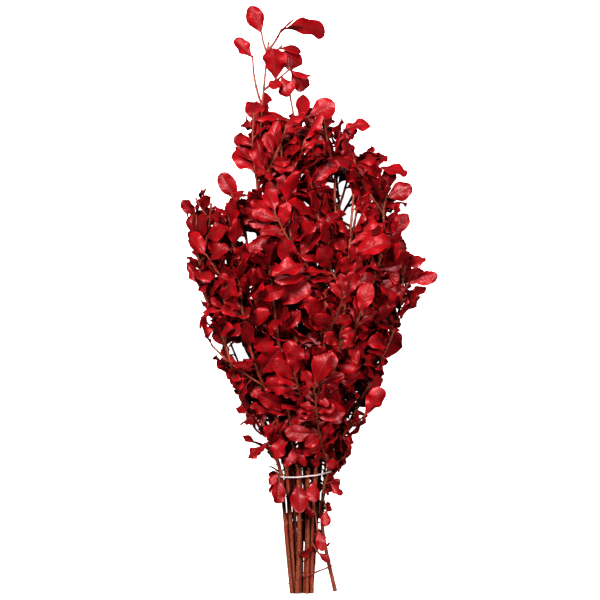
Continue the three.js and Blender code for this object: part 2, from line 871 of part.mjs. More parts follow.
const stems = STEMS.map((stem, number) => {
  const route = stem.route.map((point) => new THREE.Vector3(...point));
  const axis = new THREE.CatmullRomCurve3(route, false, "catmullrom", 0.5).getPoints(STEM_STEPS);
  const shape = { sides: STEM_SIDES, rootRadius: stem.radius, tipRadius: STEM_TIP_RADIUS };
  const wood = keep(limb(axis, shape), number);
  const { leaves: led = [], leavesTo: to = LAST_LEAF } = stem;
  const leafy = { points: axis, number: 0, length: lengthOf(axis), from: STEM_LEAVES_FROM, to, led };
  return { ...stem, number, axis, solids: [wood], axes: [leafy] };
});
const band = tie(stems, BAND_PLANE, BAND_RADIUS);
const threaded = stems.filter((stem) => THREADED.includes(stem.number + 1));
const thread = tie(threaded, THREAD_PLANE, THREAD_RADIUS);
stems.forEach(growTwigs);
for (const stem of stems) {
  for (const axis of stem.axes) {
    axis.led.forEach((_, number) => keepLeaf(stem, ledLeaf(stem, axis, number)));
  }
}
const mostAxes = Math.max(...stems.map((stem) => stem.axes.length));
for (let turn = 0; turn < mostAxes; turn += 1) {
  for (const stem of stems) {
    if (stem.axes[turn]) growLeaves(stem, stem.axes[turn]);
  }
}

const pieces = stems.map((stem) => [
  `leafy_stem_${String(stem.number + 1).padStart(2, "0")}`,
  wasm.Manifold.union(stem.solids),
  leafRed,
]);
pieces.push(["elastic_band", band, elasticWhite], ["lower_thread", thread, threadBrown]);

const whole = new THREE.Box3();
for (const [, solid] of pieces) whole.union(boxOf(solid));
const shift = whole.getCenter(new THREE.Vector3()).negate().setZ(-whole.min.z);

const bunch = new THREE.Group();
bunch.name = "preserved_pittosporum_bunch";
for (const [name, solid, material] of pieces) bunch.add(meshOf(name, solid, material, shift));

export default bunch;
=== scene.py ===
# The frame
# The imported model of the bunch, in metres, and its box before anything is dressed.
import itertools
import math
from dataclasses import dataclass, replace

import bpy
import numpy as np
from mathutils.bvhtree import BVHTree
from mathutils.kdtree import KDTree
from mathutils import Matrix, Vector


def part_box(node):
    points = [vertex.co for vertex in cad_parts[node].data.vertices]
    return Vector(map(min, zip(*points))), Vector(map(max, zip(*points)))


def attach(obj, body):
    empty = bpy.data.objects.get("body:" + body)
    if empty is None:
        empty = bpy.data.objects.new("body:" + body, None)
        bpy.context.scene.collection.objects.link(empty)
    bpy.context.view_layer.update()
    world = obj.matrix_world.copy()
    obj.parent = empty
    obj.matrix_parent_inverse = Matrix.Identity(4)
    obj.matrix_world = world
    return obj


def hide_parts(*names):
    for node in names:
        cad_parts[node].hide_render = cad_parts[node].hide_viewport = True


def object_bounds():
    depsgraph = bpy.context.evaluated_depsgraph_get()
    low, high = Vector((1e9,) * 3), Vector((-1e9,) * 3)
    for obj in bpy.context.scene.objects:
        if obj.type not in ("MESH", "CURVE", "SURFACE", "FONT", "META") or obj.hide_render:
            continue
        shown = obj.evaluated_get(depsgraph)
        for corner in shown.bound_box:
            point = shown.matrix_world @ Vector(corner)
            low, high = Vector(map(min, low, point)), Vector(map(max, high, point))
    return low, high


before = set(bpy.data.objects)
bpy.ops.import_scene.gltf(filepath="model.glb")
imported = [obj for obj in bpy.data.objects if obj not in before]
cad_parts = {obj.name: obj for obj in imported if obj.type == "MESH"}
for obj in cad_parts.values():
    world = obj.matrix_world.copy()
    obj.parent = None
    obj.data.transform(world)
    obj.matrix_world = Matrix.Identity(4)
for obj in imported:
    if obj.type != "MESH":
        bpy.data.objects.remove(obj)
cad_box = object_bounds()

# Stem routes
# Fourteen cut stems, bare at the foot and fanning out to their tips. The routes are the solids' own, in
# millimetres from the cut ends.
MM = 0.001
STEM_STEPS = 12
STEM_TIP_RADIUS = 1.1
STEM_LEAVES_FROM = 0.29
LAST_LEAF = 0.985


@dataclass
class Stem:
    """A stem's foot radius and route, and what is led to a place on the bunch's edge: twigs as (share of
    the route, end, leaves) and its own leaves, each (share, tip, half width over length, arch, way that
    it faces). Its leaves by the rule end at leaves_to, and more twigs follow the rule."""

    radius: float
    route: tuple
    twigs: tuple = ()
    leaves: tuple = ()
    leaves_to: float = LAST_LEAF
    more: int = 5


STEMS = (
    Stem(
        radius=2.7,
        route=(
            (-5.4, 0, 12), (-3, 70, 22), (-5, 136, 41), (-16, 213, 70), (-27, 290, 92), (-37, 373, 104),
            (-49, 455, 108), (-43, 543, 100), (-37, 606, 92),
        ),
        twigs=(
            (
                0.68,
                (-58, 508, 108),
                (
                    (1, (-70, 477, 102), 0.24, 0.6, (-0.7, 0.3, 0.6)),
                    (0.6, (-61, 468, 116), 0.28, 0.5, (0, 0, 1)),
                ),
            ),
            (0.74, (-53, 528, 114), ()),
            (0.87, (-54, 591, 98), ((1, (-74, 611, 103), 0.29, 0.3, (-0.2, 0.4, 0.9)),)),
            (
                0.9,
                (-14, 578, 104),
                (
                    (0.45, (-31, 601, 113), 0.37, 0.4, (0, 0, 1)),
                    (1, (3, 556, 92), 0.33, 0.6, (0.4, 0.2, 0.9)),
                    (0.6, (-33, 556, 117), 0.3, 0.5, (0.1, 0.5, 0.9)),
                    (1, (10, 571, 117), 0.22, -0.3, (0.7, 0.2, 0.6)),
                    (0.7, (-15, 548, 110), 0.38, 0.5, (0.1, 0, 1)),
                ),
            ),
            (
                0.965,
                (-23, 603, 102),
                (
                    (0.8, (-1, 598, 98), 0.27, 1, (0, 0.7, 0.7)),
                    (0.6, (-2, 583, 90), 0.34, 0.5, (0.3, 0.2, 0.9)),
                ),
            ),
            (0.98, (-44, 617, 92), ((1, (-57, 648, 98), 0.3, 0.35, (0.1, 0.1, 1)),)),
            (
                0.985,
                (-23, 621, 98),
                (
                    (0.55, (-7, 633, 119), 0.17, 0.5, (0, 0.9, 0.4)),
                    (1, (25, 618, 84), 0.25, 1.2, (0.1, 0.75, 0.65)),
                ),
            ),
        ),
        leaves=((0.23, (-2, 91, 55), 0.26, -0.4, (0, 0, 1)),),
        leaves_to=0.84,
        more=3,
    ),
    Stem(
        radius=2.3,
        route=(
            (5.6, 0, 11.8), (7, 70, 23), (7, 136, 41), (18, 213, 72), (26, 301, 105), (23, 378, 115),
            (13, 439, 112), (-2, 494, 104), (-13, 549, 96),
        ),
        twigs=(
            (0.2, (-1, 96, 43), ()),
            (
                0.92,
                (6, 526, 106),
                (
                    (1, (36, 541, 112), 0.36, 0.3, (0, -0.1, 1)),
                    (0.5, (1, 551, 112), 0.3, 0.4, (-0.2, 0, 1)),
                ),
            ),
        ),
        leaves_to=0.94,
    ),
    Stem(
        radius=2.3,
        route=(
            (-11.3, 0, 11.7), (-19, 81, 24), (-24, 136, 34), (-44, 191, 50), (-73, 238, 62),
            (-89, 293, 70), (-108, 334, 74), (-114, 378, 76), (-116, 418, 74),
        ),
        twigs=(
            (
                0.21,
                (-27, 134, 44),
                (
                    (1, (-36, 122, 46), 0.34, 0.5, (-0.3, 0, 1)),
                    (0.7, (-27, 101, 44), 0.28, 0.5, (-0.2, 0, 1)),
                ),
            ),
            (0.28, (-37, 166, 54), ((1, (-59, 151, 58), 0.3, 1.2, (-0.2, 0.7, 0.6)),)),
            (0.4, (-66, 190, 60), ()),
            (0.74, (-106, 350, 84), ()),
        ),
        leaves=((1, (-131, 436, 82), 0.3, 0.4, (-0.3, 0, 1)),),
        leaves_to=0.94,
    ),
    Stem(
        radius=2.4,
        route=(
            (-7.9, 0, 7), (-13, 81, 21), (-17, 136, 38), (-28, 197, 64), (-48, 246, 86),
            (-62, 295, 100), (-68, 345, 108), (-76, 395, 108), (-82, 430, 102),
        ),
    ),
    Stem(
        radius=2.2,
        route=(
            (-5.4, 0, 1.9), (-8, 70, 12), (-11.5, 136, 26), (-28, 213, 46), (-44, 290, 62),
            (-53, 340, 74), (-59, 378, 82), (-64, 412, 88), (-70, 434, 88),
        ),
        leaves=((1, (-89, 465, 96), 0.26, 0.3, (-0.3, 0.3, 0.9)),),
        leaves_to=0.94,
    ),
    Stem(
        radius=2.3,
        route=(
            (-2.6, 0, 6.8), (-2, 70, 16.5), (-2, 136, 31), (-3, 213, 60), (-7, 290, 92),
            (-10, 356, 116), (-14, 411, 122), (-20, 461, 118), (-24, 502, 110),
        ),
    ),
    Stem(
        radius=2.3,
        route=(
            (8.2, 0, 6.8), (11, 70, 17.5), (13, 136, 33), (16, 197, 58), (32, 240, 86), (42, 285, 108),
            (48, 334, 120), (52, 389, 120), (56, 439, 112),
        ),
    ),
    Stem(
        radius=2.2,
        route=(
            (5.2, 0, 1.9), (10, 70, 12), (17, 136, 23), (33, 213, 46), (55, 285, 68), (78, 345, 86),
            (90, 392, 92), (88, 428, 90), (84, 470, 84),
        ),
        twigs=(
            (0.84, (92, 438, 96), ((1, (120, 451, 102), 0.36, 0.4, (0, -0.1, 1)),)),
        ),
        leaves=((1, (115, 463, 94), 0.32, 0.8, (0, 0.6, 0.7)),),
        leaves_to=0.93,
    ),
    Stem(
        radius=2.2,
        route=(
            (11, 0, 11.7), (12, 70, 23), (15, 136, 41), (26, 213, 66), (36, 290, 82), (40, 367, 90),
            (36, 433, 92), (38, 488, 90), (42, 508, 88),
        ),
        twigs=(
            (0.1, (18, 46, 26), ()),
            (0.17, (17, 72, 32), ((1, (23, 48, 35), 0.24, 0.4, (0.3, 0, 1)),)),
            (
                0.84,
                (57, 474, 94),
                (
                    (1, (94, 481, 94), 0.24, 0.9, (0, 0.75, 0.6)),
                    (1, (86, 464, 90), 0.33, 0.3, (0, 0, 1)),
                ),
            ),
        ),
        leaves=(
            (1, (75, 517, 88), 0.24, 1.1, (0, 0.8, 0.5)),
            (0.235, (12, 103, 50), 0.28, 0.5, (0.2, 0, 1)),
        ),
        leaves_to=0.94,
    ),
    Stem(
        radius=2.3,
        route=(
            (37, 2, 1.9), (29, 37, 6.5), (22.5, 76, 14), (25, 120, 30), (37, 158, 42), (64, 213, 56),
            (91, 268, 66), (106, 310, 72), (113, 362, 74),
        ),
        twigs=(
            (0.33, (27, 94, 33), ((1, (25, 75, 37), 0.3, 0.5, (0.3, 0, 1)),)),
            (0.38, (31, 124, 42), ((1, (45, 111, 44), 0.32, 0.6, (0.2, 0.5, 0.8)),)),
            (0.45, (46, 152, 54), ()),
            (0.56, (68, 198, 70), ((1, (89, 229, 78), 0.26, 0.4, (0.1, -0.1, 1)),)),
            (
                0.9,
                (116, 343, 84),
                (
                    (1, (149, 352, 86), 0.24, 0.6, (-0.1, 0.75, 0.65)),
                    (1, (131, 362, 100), 0.2, 0.7, (-0.2, 0.9, 0.3)),
                ),
            ),
        ),
        leaves=((1, (136, 371, 82), 0.32, 1.1, (0, 0.6, 0.7)),),
        leaves_to=0.94,
    ),
    Stem(
        radius=2.2,
        route=(
            (-10.5, 0, 1.9), (-14, 70, 11), (-18, 136, 19), (-36, 213, 25), (-62, 279, 27),
            (-82, 334, 27), (-94, 380, 25),
        ),
        twigs=(
            (0.58, (-78, 318, 3), ()),
        ),
        more=4,
    ),
    Stem(
        radius=2.2,
        route=(
            (0, 0, 1.9), (-0.9, 35, 6.2), (1, 75, 11), (3, 136, 17), (-6, 213, 23), (-22, 301, 28),
            (-28, 389, 32), (-28, 455, 34), (-22, 515, 34),
        ),
        twigs=(
            (0.6, (-20, 376, 3), ()),
        ),
        more=4,
    ),
    Stem(
        radius=2.2,
        route=(
            (10.4, 0, 1.9), (15.5, 70, 9), (20, 136, 15), (27, 213, 21), (40, 301, 27), (45, 372, 32),
            (42, 422, 34), (38, 462, 34),
        ),
        twigs=(
            (0.52, (42, 324, 3), ()),
        ),
        more=4,
    ),
    Stem(
        radius=2.2,
        route=(
            (2.9, 0, 6.8), (5.5, 70, 16.5), (7, 136, 25), (44, 213, 30), (72, 279, 32), (92, 334, 34),
            (103, 380, 32),
        ),
        twigs=(
            (0.5, (70, 262, 3), ()),
        ),
        more=4,
    ),
)


@dataclass
class Limb:
    """A stem (number 0) or one of its twigs: its axis, and where its leaves sit."""

    stem: int
    number: int
    points: np.ndarray
    radii: tuple
    leaves_from: float
    leaves_to: float
    led: tuple

    @property
    def length(self):
        return np.linalg.norm(np.diff(self.points, axis=0), axis=1).sum()


def smooth_route(route, steps):
    """Points on the curve that runs through all places of a route."""
    route = np.asarray(route, dtype=float)
    padded = np.vstack([2 * route[0] - route[1], route, 2 * route[-1] - route[-2]])
    places = np.linspace(0, len(route) - 1, steps + 1)
    span = np.minimum(places.astype(int), len(route) - 2)
    t = (places - span)[:, None]
    before, here, there, after = (padded[span + k] for k in range(4))
    leaving, arriving = (there - before) / 2, (after - here) / 2
    square = 3 * (there - here) - 2 * leaving - arriving
    cube = 2 * (here - there) + leaving + arriving
    return here + t * leaving + t**2 * square + t**3 * cube


def unit(vector):
    return vector / np.linalg.norm(vector)


def place_on(points, share):
    """A place on the straight pieces between an axis's points, and the axis's direction there."""
    reach = min(max(share, 0), 1) * (len(points) - 1)
    before = min(int(reach), len(points) - 2)
    point = points[before] + (points[before + 1] - points[before]) * (reach - before)
    nearest = math.floor(reach + 0.5)
    ahead = points[min(len(points) - 1, nearest + 1)]
    return point, unit(ahead - points[max(0, nearest - 1)])


stem_limbs = [
    Limb(
        stem=i,
        number=0,
        points=smooth_route(stem.route, STEM_STEPS),
        radii=(stem.radius, STEM_TIP_RADIUS),
        leaves_from=STEM_LEAVES_FROM,
        leaves_to=stem.leaves_to,
        led=stem.leaves,
    )
    for i, stem in enumerate(STEMS)
]

# Elastic band and thread
# A thin white elastic holds the stems above their feet, and a dark red-brown thread goes round the
# splayed stem and its neighbours near the cut ends. Each is a closed loop, drawn taut round the
# outermost stems in a leaning plane, and covered with fine strands that wind round it.
BAND_PLANE = {"along": 136.5, "across": 0.11, "up": -0.35, "height": 26}
BAND_RADIUS = 1.0
THREAD_PLANE = {"along": 17.4, "across": 0.38, "up": 0, "height": 8}
THREAD_RADIUS = 0.55
THREADED = (2, 7, 8, 9, 10, 13, 14)
TIE_GAP = 0.4
TIE_DIRECTIONS = 120
TIES_WITHIN = 0.6
HALVINGS = 40


def ahead_of(plane, point):
    lean = plane["across"] * point[0] + plane["up"] * (point[2] - plane["height"])
    return point[1] - plane["along"] - lean


def cut_through(limb, plane):
    """Where a leaning plane cuts a stem, and the stem's radius there."""
    low, high = 0.0, TIES_WITHIN
    for _ in range(HALVINGS):
        middle = (low + high) / 2
        if ahead_of(plane, place_on(limb.points, middle)[0]) < 0:
            low = middle
        else:
            high = middle
    foot, tip = limb.radii
    return place_on(limb.points, low)[0], foot + (tip - foot) * low


def tie_loop(limbs, plane, line_radius):
    """The middle of a line drawn taut round the stems, one point for each direction."""
    cuts = [cut_through(limb, plane) for limb in limbs]
    loop = []
    for turn in np.linspace(0, 2 * math.pi, TIE_DIRECTIONS, endpoint=False):
        out = np.array([math.cos(turn), 0, math.sin(turn)])
        reach = [radius + TIE_GAP + line_radius for _, radius in cuts]
        outermost = max(range(len(cuts)), key=lambda k: cuts[k][0] @ out + reach[k])
        point = cuts[outermost][0] + out * reach[outermost]
        point[1] -= ahead_of(plane, point)
        loop.append(point)
    return np.array(loop)


band_loop = tie_loop(stem_limbs, BAND_PLANE, BAND_RADIUS)
thread_loop = tie_loop([stem_limbs[k - 1] for k in THREADED], THREAD_PLANE, THREAD_RADIUS)

# The routes' own origin lies away from the frame's, by as much as the band's box does.
band_box = np.array(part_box("elastic_band")) / MM
shift = band_box.mean(axis=0) - (band_loop.min(axis=0) + band_loop.max(axis=0)) / 2
shift[2] = 0


def to_frame(points):
    """Route coordinates to the frame's metres."""
    return (np.asarray(points) + shift) * MM


def wire(tree, kind, sockets=None, **settings):
    """Adds a node and feeds each socket a value or the socket of another node."""
    node = tree.nodes.new(kind)
    for name, value in settings.items():
        setattr(node, name, value)
    for key, value in (sockets or {}).items():
        if isinstance(value, bpy.types.NodeSocket):
            tree.links.new(value, node.inputs[key])
        else:
            node.inputs[key].default_value = value
    return node


def math_of(tree, operation, *values):
    return wire(tree, "ShaderNodeMath", dict(enumerate(values)), operation=operation).outputs[0]


def geometry_tree(name, inputs):
    """A new geometry tree with the named inputs, as (name, socket type, value)."""
    tree = bpy.data.node_groups.new(name, "GeometryNodeTree")
    tree.interface.new_socket("Geometry", in_out="OUTPUT", socket_type="NodeSocketGeometry")
    tree.interface.new_socket("Geometry", in_out="INPUT", socket_type="NodeSocketGeometry")
    for label, kind, value in inputs:
        socket = tree.interface.new_socket(label, in_out="INPUT", socket_type="NodeSocket" + kind)
        if value is not None:
            socket.default_value = value
    return tree, tree.nodes.new("NodeGroupInput").outputs


def dressed_in(tree, geometry, material, chosen=True):
    sockets = {"Geometry": geometry, "Material": material, "Selection": chosen}
    return wire(tree, "GeometryNodeSetMaterial", sockets).outputs[0]


def made_real(tree, geometry):
    return wire(tree, "GeometryNodeRealizeInstances", {"Geometry": geometry}).outputs[0]


def line_and_ring(tree, given):
    """The bare line as a curve, and the ring that is drawn along it."""
    line = wire(tree, "GeometryNodeMeshToCurve", {"Mesh": given["Geometry"]})
    ring = wire(tree, "GeometryNodeCurvePrimitiveCircle", {"Resolution": given["Sides"], "Radius": 1.0})
    return line.outputs[0], ring.outputs[0]


def tube_along(tree, line, ring, capped=False):
    """The ring drawn along the line, as wide as the line's radius says."""
    radius = wire(tree, "GeometryNodeInputNamedAttribute", {"Name": "radius"}, data_type="FLOAT")
    curves = {"Curve": line, "Profile Curve": ring, "Fill Caps": capped}
    return wire(tree, "GeometryNodeCurveToMesh", {**curves, "Scale": radius.outputs[0]}).outputs[0]


def pushed_out(tree, geometry, height):
    """Moves each point by a height along the surface's own direction."""
    normal = wire(tree, "GeometryNodeInputNormal").outputs[0]
    offset = wire(tree, "ShaderNodeVectorMath", {0: normal, "Scale": height}, operation="SCALE")
    pushed = {"Geometry": geometry, "Offset": offset.outputs[0]}
    return wire(tree, "GeometryNodeSetPosition", pushed).outputs[0]


def new_object(name, data):
    made = bpy.data.objects.new(name, data)
    bpy.context.scene.collection.objects.link(made)
    return made


def line_object(name, chains, closed=False):
    """An object of bare edges: each chain is a list of points and a list of radii, in millimetres."""
    points, edges, radii = [], [], []
    for chain, sizes in chains:
        first = len(points)
        points += to_frame(chain).tolist()
        radii += [size * MM for size in sizes]
        edges += [(k, k + 1) for k in range(first, len(points) - 1)]
        if closed:
            edges.append((len(points) - 1, first))
    mesh = bpy.data.meshes.new(name)
    mesh.from_pydata(points, edges, [])
    mesh.attributes.new("radius", "FLOAT", "POINT").data.foreach_set("value", radii)
    return new_object(name, mesh)


def grow(made, tree, values):
    """Runs a tree on an object with its named inputs set, and keeps the result as a plain mesh."""
    modifier = made.modifiers.new(tree.name, "NODES")
    modifier.node_group = tree
    for item in tree.interface.items_tree:
        if item.in_out == "INPUT" and item.name in values:
            modifier[item.identifier] = values[item.name]
    evaluated = made.evaluated_get(bpy.context.evaluated_depsgraph_get())
    mesh = bpy.data.meshes.new_from_object(evaluated)
    made.modifiers.remove(modifier)
    made.data = mesh
    return made


def with_share(tree, curve):
    """A curve whose points keep their share of its length."""
    capture = tree.nodes.new("GeometryNodeCaptureAttribute")
    capture.capture_items.new("FLOAT", "Share")
    along = wire(tree, "GeometryNodeSplineParameter").outputs["Factor"]
    tree.links.new(curve, capture.inputs["Geometry"])
    tree.links.new(along, capture.inputs["Share"])
    return capture


def strand_tree():
    """Winds fine strands round a closed line."""
    tree, given = geometry_tree(
        "wound line",
        (
            ("Sides", "Int", 16),
            ("Strands", "Float", 3.0),
            ("Turns", "Float", 60.0),
            ("Relief", "Float", 0.00005),
            ("Material", "Material", None),
        ),
    )
    line, ring = (with_share(tree, curve) for curve in line_and_ring(tree, given))
    tube = tube_along(tree, line.outputs[0], ring.outputs[0])
    wound = math_of(tree, "MULTIPLY", line.outputs["Share"], given["Turns"])
    around = math_of(tree, "MULTIPLY", ring.outputs["Share"], given["Strands"])
    angle = math_of(tree, "MULTIPLY", math_of(tree, "ADD", wound, around), 2 * math.pi)
    height = math_of(tree, "MULTIPLY", math_of(tree, "SINE", angle), given["Relief"])
    raised = pushed_out(tree, tube, height)
    soft = wire(tree, "GeometryNodeSetShadeSmooth", {"Geometry": raised}).outputs[0]
    dressed = dressed_in(tree, made_real(tree, soft), given["Material"])
    wire(tree, "NodeGroupOutput", {"Geometry": dressed})
    return tree


def new_material(name, values):
    """A material with plain values on its shader's sockets."""
    made = bpy.data.materials.new(name)
    made.use_nodes = True
    shader = made.node_tree.nodes["Principled BSDF"]
    for socket, value in values.items():
        shader.inputs[socket].default_value = value
    return made, made.node_tree, shader


def noise_of(tree, place, scale, detail=3.0, roughness=0.5):
    sockets = {"Vector": place, "Scale": scale, "Detail": detail, "Roughness": roughness}
    return wire(tree, "ShaderNodeTexNoise", sockets).outputs["Fac"]


def blend_colours(tree, share, first, second):
    return wire(tree, "ShaderNodeMix", {0: share, 6: first, 7: second}, data_type="RGBA").outputs[2]


def ramp_between(tree, value, low, high, to_low=0.0, to_high=1.0):
    """Maps a value from one range to another, eased at both ends."""
    sockets = {0: value, 1: low, 2: high, 3: to_low, 4: to_high}
    return wire(tree, "ShaderNodeMapRange", sockets, interpolation_type="SMOOTHSTEP").outputs[0]


def add_bump(tree, shader, height, distance, strength=1.0):
    sockets = {"Height": height, "Distance": distance, "Strength": strength}
    tree.links.new(wire(tree, "ShaderNodeBump", sockets).outputs[0], shader.inputs["Normal"])


def scaled_sum(tree, *terms):
    """The sum of some values, each times its factor."""
    total = 0.0
    for value, factor in terms:
        total = math_of(tree, "MULTIPLY_ADD", value, factor, total)
    return total


def object_place(tree, stretch=(1, 1, 1)):
    """Object coordinates, stretched where a grain runs one way."""
    place = wire(tree, "ShaderNodeTexCoord").outputs["Object"]
    return wire(tree, "ShaderNodeVectorMath", {0: place, 1: stretch}, operation="MULTIPLY").outputs[0]


FIBRE_SCALE = 900.0
FUZZ_SCALE = 4000.0
FUZZ_HEIGHT = 0.0001


def tie_material(name, pale, dark, roughness):
    """Fibres that vary between two shades, with a soft fuzz in their surface."""
    made, tree, shader = new_material(name, {"Roughness": roughness, "Specular IOR Level": 0.4})
    place = object_place(tree)
    fibres = noise_of(tree, place, FIBRE_SCALE, 4.0)
    shade = blend_colours(tree, ramp_between(tree, fibres, 0.35, 0.65), dark, pale)
    tree.links.new(shade, shader.inputs["Base Color"])
    add_bump(tree, shader, noise_of(tree, place, FUZZ_SCALE), FUZZ_HEIGHT, 0.5)
    return made


ELASTIC_WHITE = (0.48, 0.39, 0.4, 1)
ELASTIC_GREY = (0.33, 0.24, 0.25, 1)
THREAD_RED = (0.22, 0.05, 0.032, 1)
THREAD_BROWN = (0.1, 0.018, 0.012, 1)
BAND_TURNS = 90.0
THREAD_TURNS = 70.0
STRAND_RELIEF = 0.06

wound_line = strand_tree()
elastic = tie_material("white elastic", ELASTIC_WHITE, ELASTIC_GREY, 0.35)
dark_thread = tie_material("dark thread", THREAD_RED, THREAD_BROWN, 0.7)
TIES = (
    ("elastic_cord", band_loop, BAND_RADIUS, BAND_TURNS, elastic, "elastic", "elastic_band"),
    ("thread_cord", thread_loop, THREAD_RADIUS, THREAD_TURNS, dark_thread, "thread", "lower_thread"),
)
for name, loop, radius, turns, finish, slot, node in TIES:
    tie = line_object(name, [(loop, [radius] * len(loop))], closed=True)
    relief = STRAND_RELIEF * radius * MM
    grow(tie, wound_line, {"Turns": turns, "Relief": relief, "Material": finish})
    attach(tie, "root")
    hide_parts(node)

# Twigs and bark
# The wood of each stem is one piece: a tapered stem with thin twigs forking off it, knuckles where
# leaves and twigs sit, stubs of trimmed shoots low down, a pale square cut at the foot and buds at the
# tips. Dried and dyed, the bark is red-brown with a faint lengthwise grain and paler pores.
SEED = 5021
GOLDEN_ANGLE = math.radians(137.5)
TWIG_STEPS = 3
TWIG_ROOT_RADIUS = 1.35
TWIG_TIP_RADIUS = 0.9
TWIG_LONG = 132
TWIG_SHORT = 62
TWIG_VARIES = (0.75, 1.15)
TWIG_SHRINK = 0.05
TWIG_SCATTER = 0.6
TWIG_SWING = 0.7
TWIG_BOW = 0.1
TWIG_ALONG = 0.84
TWIG_OUT = 0.54
TWIG_FIRST = 0.29
TWIG_LAST = 0.93
TWIG_TRIES = 9
TWIG_LIFT = 3
TWIG_SIDES = 3
TWIG_LEAVES_FROM = 0.2
BUD_LENGTH = 3.2
BUD = ((0.3, 1.3), (0.6, 1.05), (0.85, 0.55), (0.99, 0.12))
MATCH = 0.03
WOOD_STEP = 3.0
KNUCKLE_SWELL = 0.22
KNUCKLE_REACH = 2.6
FORK_SWELL = 1.3
BARE_BELOW = 185
UP = np.array([0, 0, 1.0])


def draw(*keys):
    """The same keys always give the same number from 0 to 1. The last key tells one use from another."""
    hashed = SEED
    for key in keys:
        hashed = (hashed ^ (key + 1)) * 0x9E3779B1 & 0xFFFFFFFF
        hashed ^= hashed >> 15
        hashed = hashed * 0x85EBCA77 & 0xFFFFFFFF
        hashed ^= hashed >> 13
    return hashed / 2**32


def between(low, high, *keys):
    return low + (high - low) * draw(*keys)


def lerp(low, high, share):
    return low + (high - low) * share


def radial(axis, angle):
    """A direction square to an axis: 0 is level, a quarter turn is upwards."""
    level = unit(np.cross(axis, UP))
    return level * math.cos(angle) + np.cross(level, axis) * math.sin(angle)


def corners_of(node):
    """The corners of a solid, to look places up in, in route coordinates."""
    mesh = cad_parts[node].data
    places = np.empty(len(mesh.vertices) * 3)
    mesh.vertices.foreach_get("co", places)
    tree = KDTree(len(mesh.vertices))
    for k, place in enumerate(places.reshape(-1, 3) / MM - shift):
        tree.insert(place, k)
    tree.balance()
    return tree


def count_found(tree, places):
    return sum(tree.find(place)[2] < MATCH for place in places)


def twig_axis(stem, k, attempt):
    """The axis of twig k of a stem. A led twig goes to its end, the others spread by the golden angle."""
    led_twigs = STEMS[stem.stem].twigs
    led = led_twigs[k] if k < len(led_twigs) else None
    spread = (k - len(led_twigs) + TWIG_SCATTER * draw(stem.stem, k, 1)) / STEMS[stem.stem].more
    share = led[0] if led else lerp(TWIG_FIRST, TWIG_LAST, spread)
    root, along = place_on(stem.points, share)
    swing = attempt * TWIG_SWING * (1 if attempt % 2 else -1)
    out = radial(along, k * GOLDEN_ANGLE + between(0, 2 * math.pi, stem.stem, 2) + swing)
    full = lerp(TWIG_LONG, TWIG_SHORT, share) * between(*TWIG_VARIES, stem.stem, k, 3)
    length = full * (1 - TWIG_SHRINK * attempt)
    end = np.array(led[1], float) if led else root + along * TWIG_ALONG * length + out * TWIG_OUT * length
    end[2] = max(end[2], TWIG_LIFT)
    middle = (root + end) / 2 + out * TWIG_BOW * np.linalg.norm(end - root)
    middle[2] = max(middle[2], TWIG_LIFT)
    t = np.linspace(0, 1, TWIG_STEPS + 1)[:, None]
    return (1 - t) ** 2 * root + 2 * t * (1 - t) * middle + t**2 * end


def twig_corners(points):
    """The bud's point and the last ring of a twig's solid."""
    end, along = place_on(points, 1)
    turns = [-2 * math.pi * k / TWIG_SIDES for k in range(TWIG_SIDES)]
    return [end + along * BUD_LENGTH] + [end + radial(along, turn) * TWIG_TIP_RADIUS for turn in turns]


def twigs_of(stem, corners):
    """The twigs that the stem's solid has."""
    led_twigs = STEMS[stem.stem].twigs
    twigs = []
    for k in range(len(led_twigs) + STEMS[stem.stem].more):
        tries = (twig_axis(stem, k, attempt) for attempt in range(TWIG_TRIES))
        found = next((points for points in tries if count_found(corners, twig_corners(points))), None)
        if found is not None:
            radii = (TWIG_ROOT_RADIUS, TWIG_TIP_RADIUS)
            led = led_twigs[k][2] if k < len(led_twigs) else ()
            twigs.append(Limb(stem.stem, k + 1, found, radii, TWIG_LEAVES_FROM, LAST_LEAF, led))
    return twigs


def limb_chain(limb, knuckles):
    """A limb's smooth axis with its radii: taper, swollen knuckles and a bud at the tip."""
    spans = len(limb.points) - 1
    steps = spans * max(2, round(limb.length / spans / WOOD_STEP))
    points = smooth_route(limb.points, steps)
    share = np.linspace(0, 1, steps + 1)
    radii = lerp(*limb.radii, share)
    for knuckle in knuckles:
        radii *= 1 + KNUCKLE_SWELL * np.exp(-(((share - knuckle) * limb.length / KNUCKLE_REACH) ** 2))
    if limb.number:
        radii[0] *= FORK_SWELL
    end, along = place_on(limb.points, 1)
    bud = [end + along * BUD_LENGTH * reach for reach, _ in BUD]
    return np.vstack([points, bud]), [*radii, *(limb.radii[1] * swell for _, swell in BUD)]


STUB = {"Vertices": 6, "Radius Top": 0.45, "Radius Bottom": 0.8, "Depth": 1.6}
STUB_SIZES = {2: 0.6, 3: 1.2}
SIDE_CORNERS = 4.5


def lumpy_tube(tree, given):
    """Bark over each line, its relief lumpy, its ends closed."""
    tube = tube_along(tree, *line_and_ring(tree, given), capped=True)
    place = wire(tree, "GeometryNodeInputPosition").outputs[0]
    lumps = wire(tree, "ShaderNodeTexNoise", {"Vector": place, "Scale": given["Grain"], "Detail": 2.0})
    height = math_of(tree, "MULTIPLY", math_of(tree, "SUBTRACT", lumps.outputs[0], 0.5), given["Relief"])
    return pushed_out(tree, tube, height)


def bare_part(tree, given):
    """True low on the stems, where they bear no leaves."""
    place = wire(tree, "GeometryNodeInputPosition").outputs[0]
    y = wire(tree, "ShaderNodeSeparateXYZ", {0: place}).outputs["Y"]
    return math_of(tree, "LESS_THAN", y, given["Bare Below"])


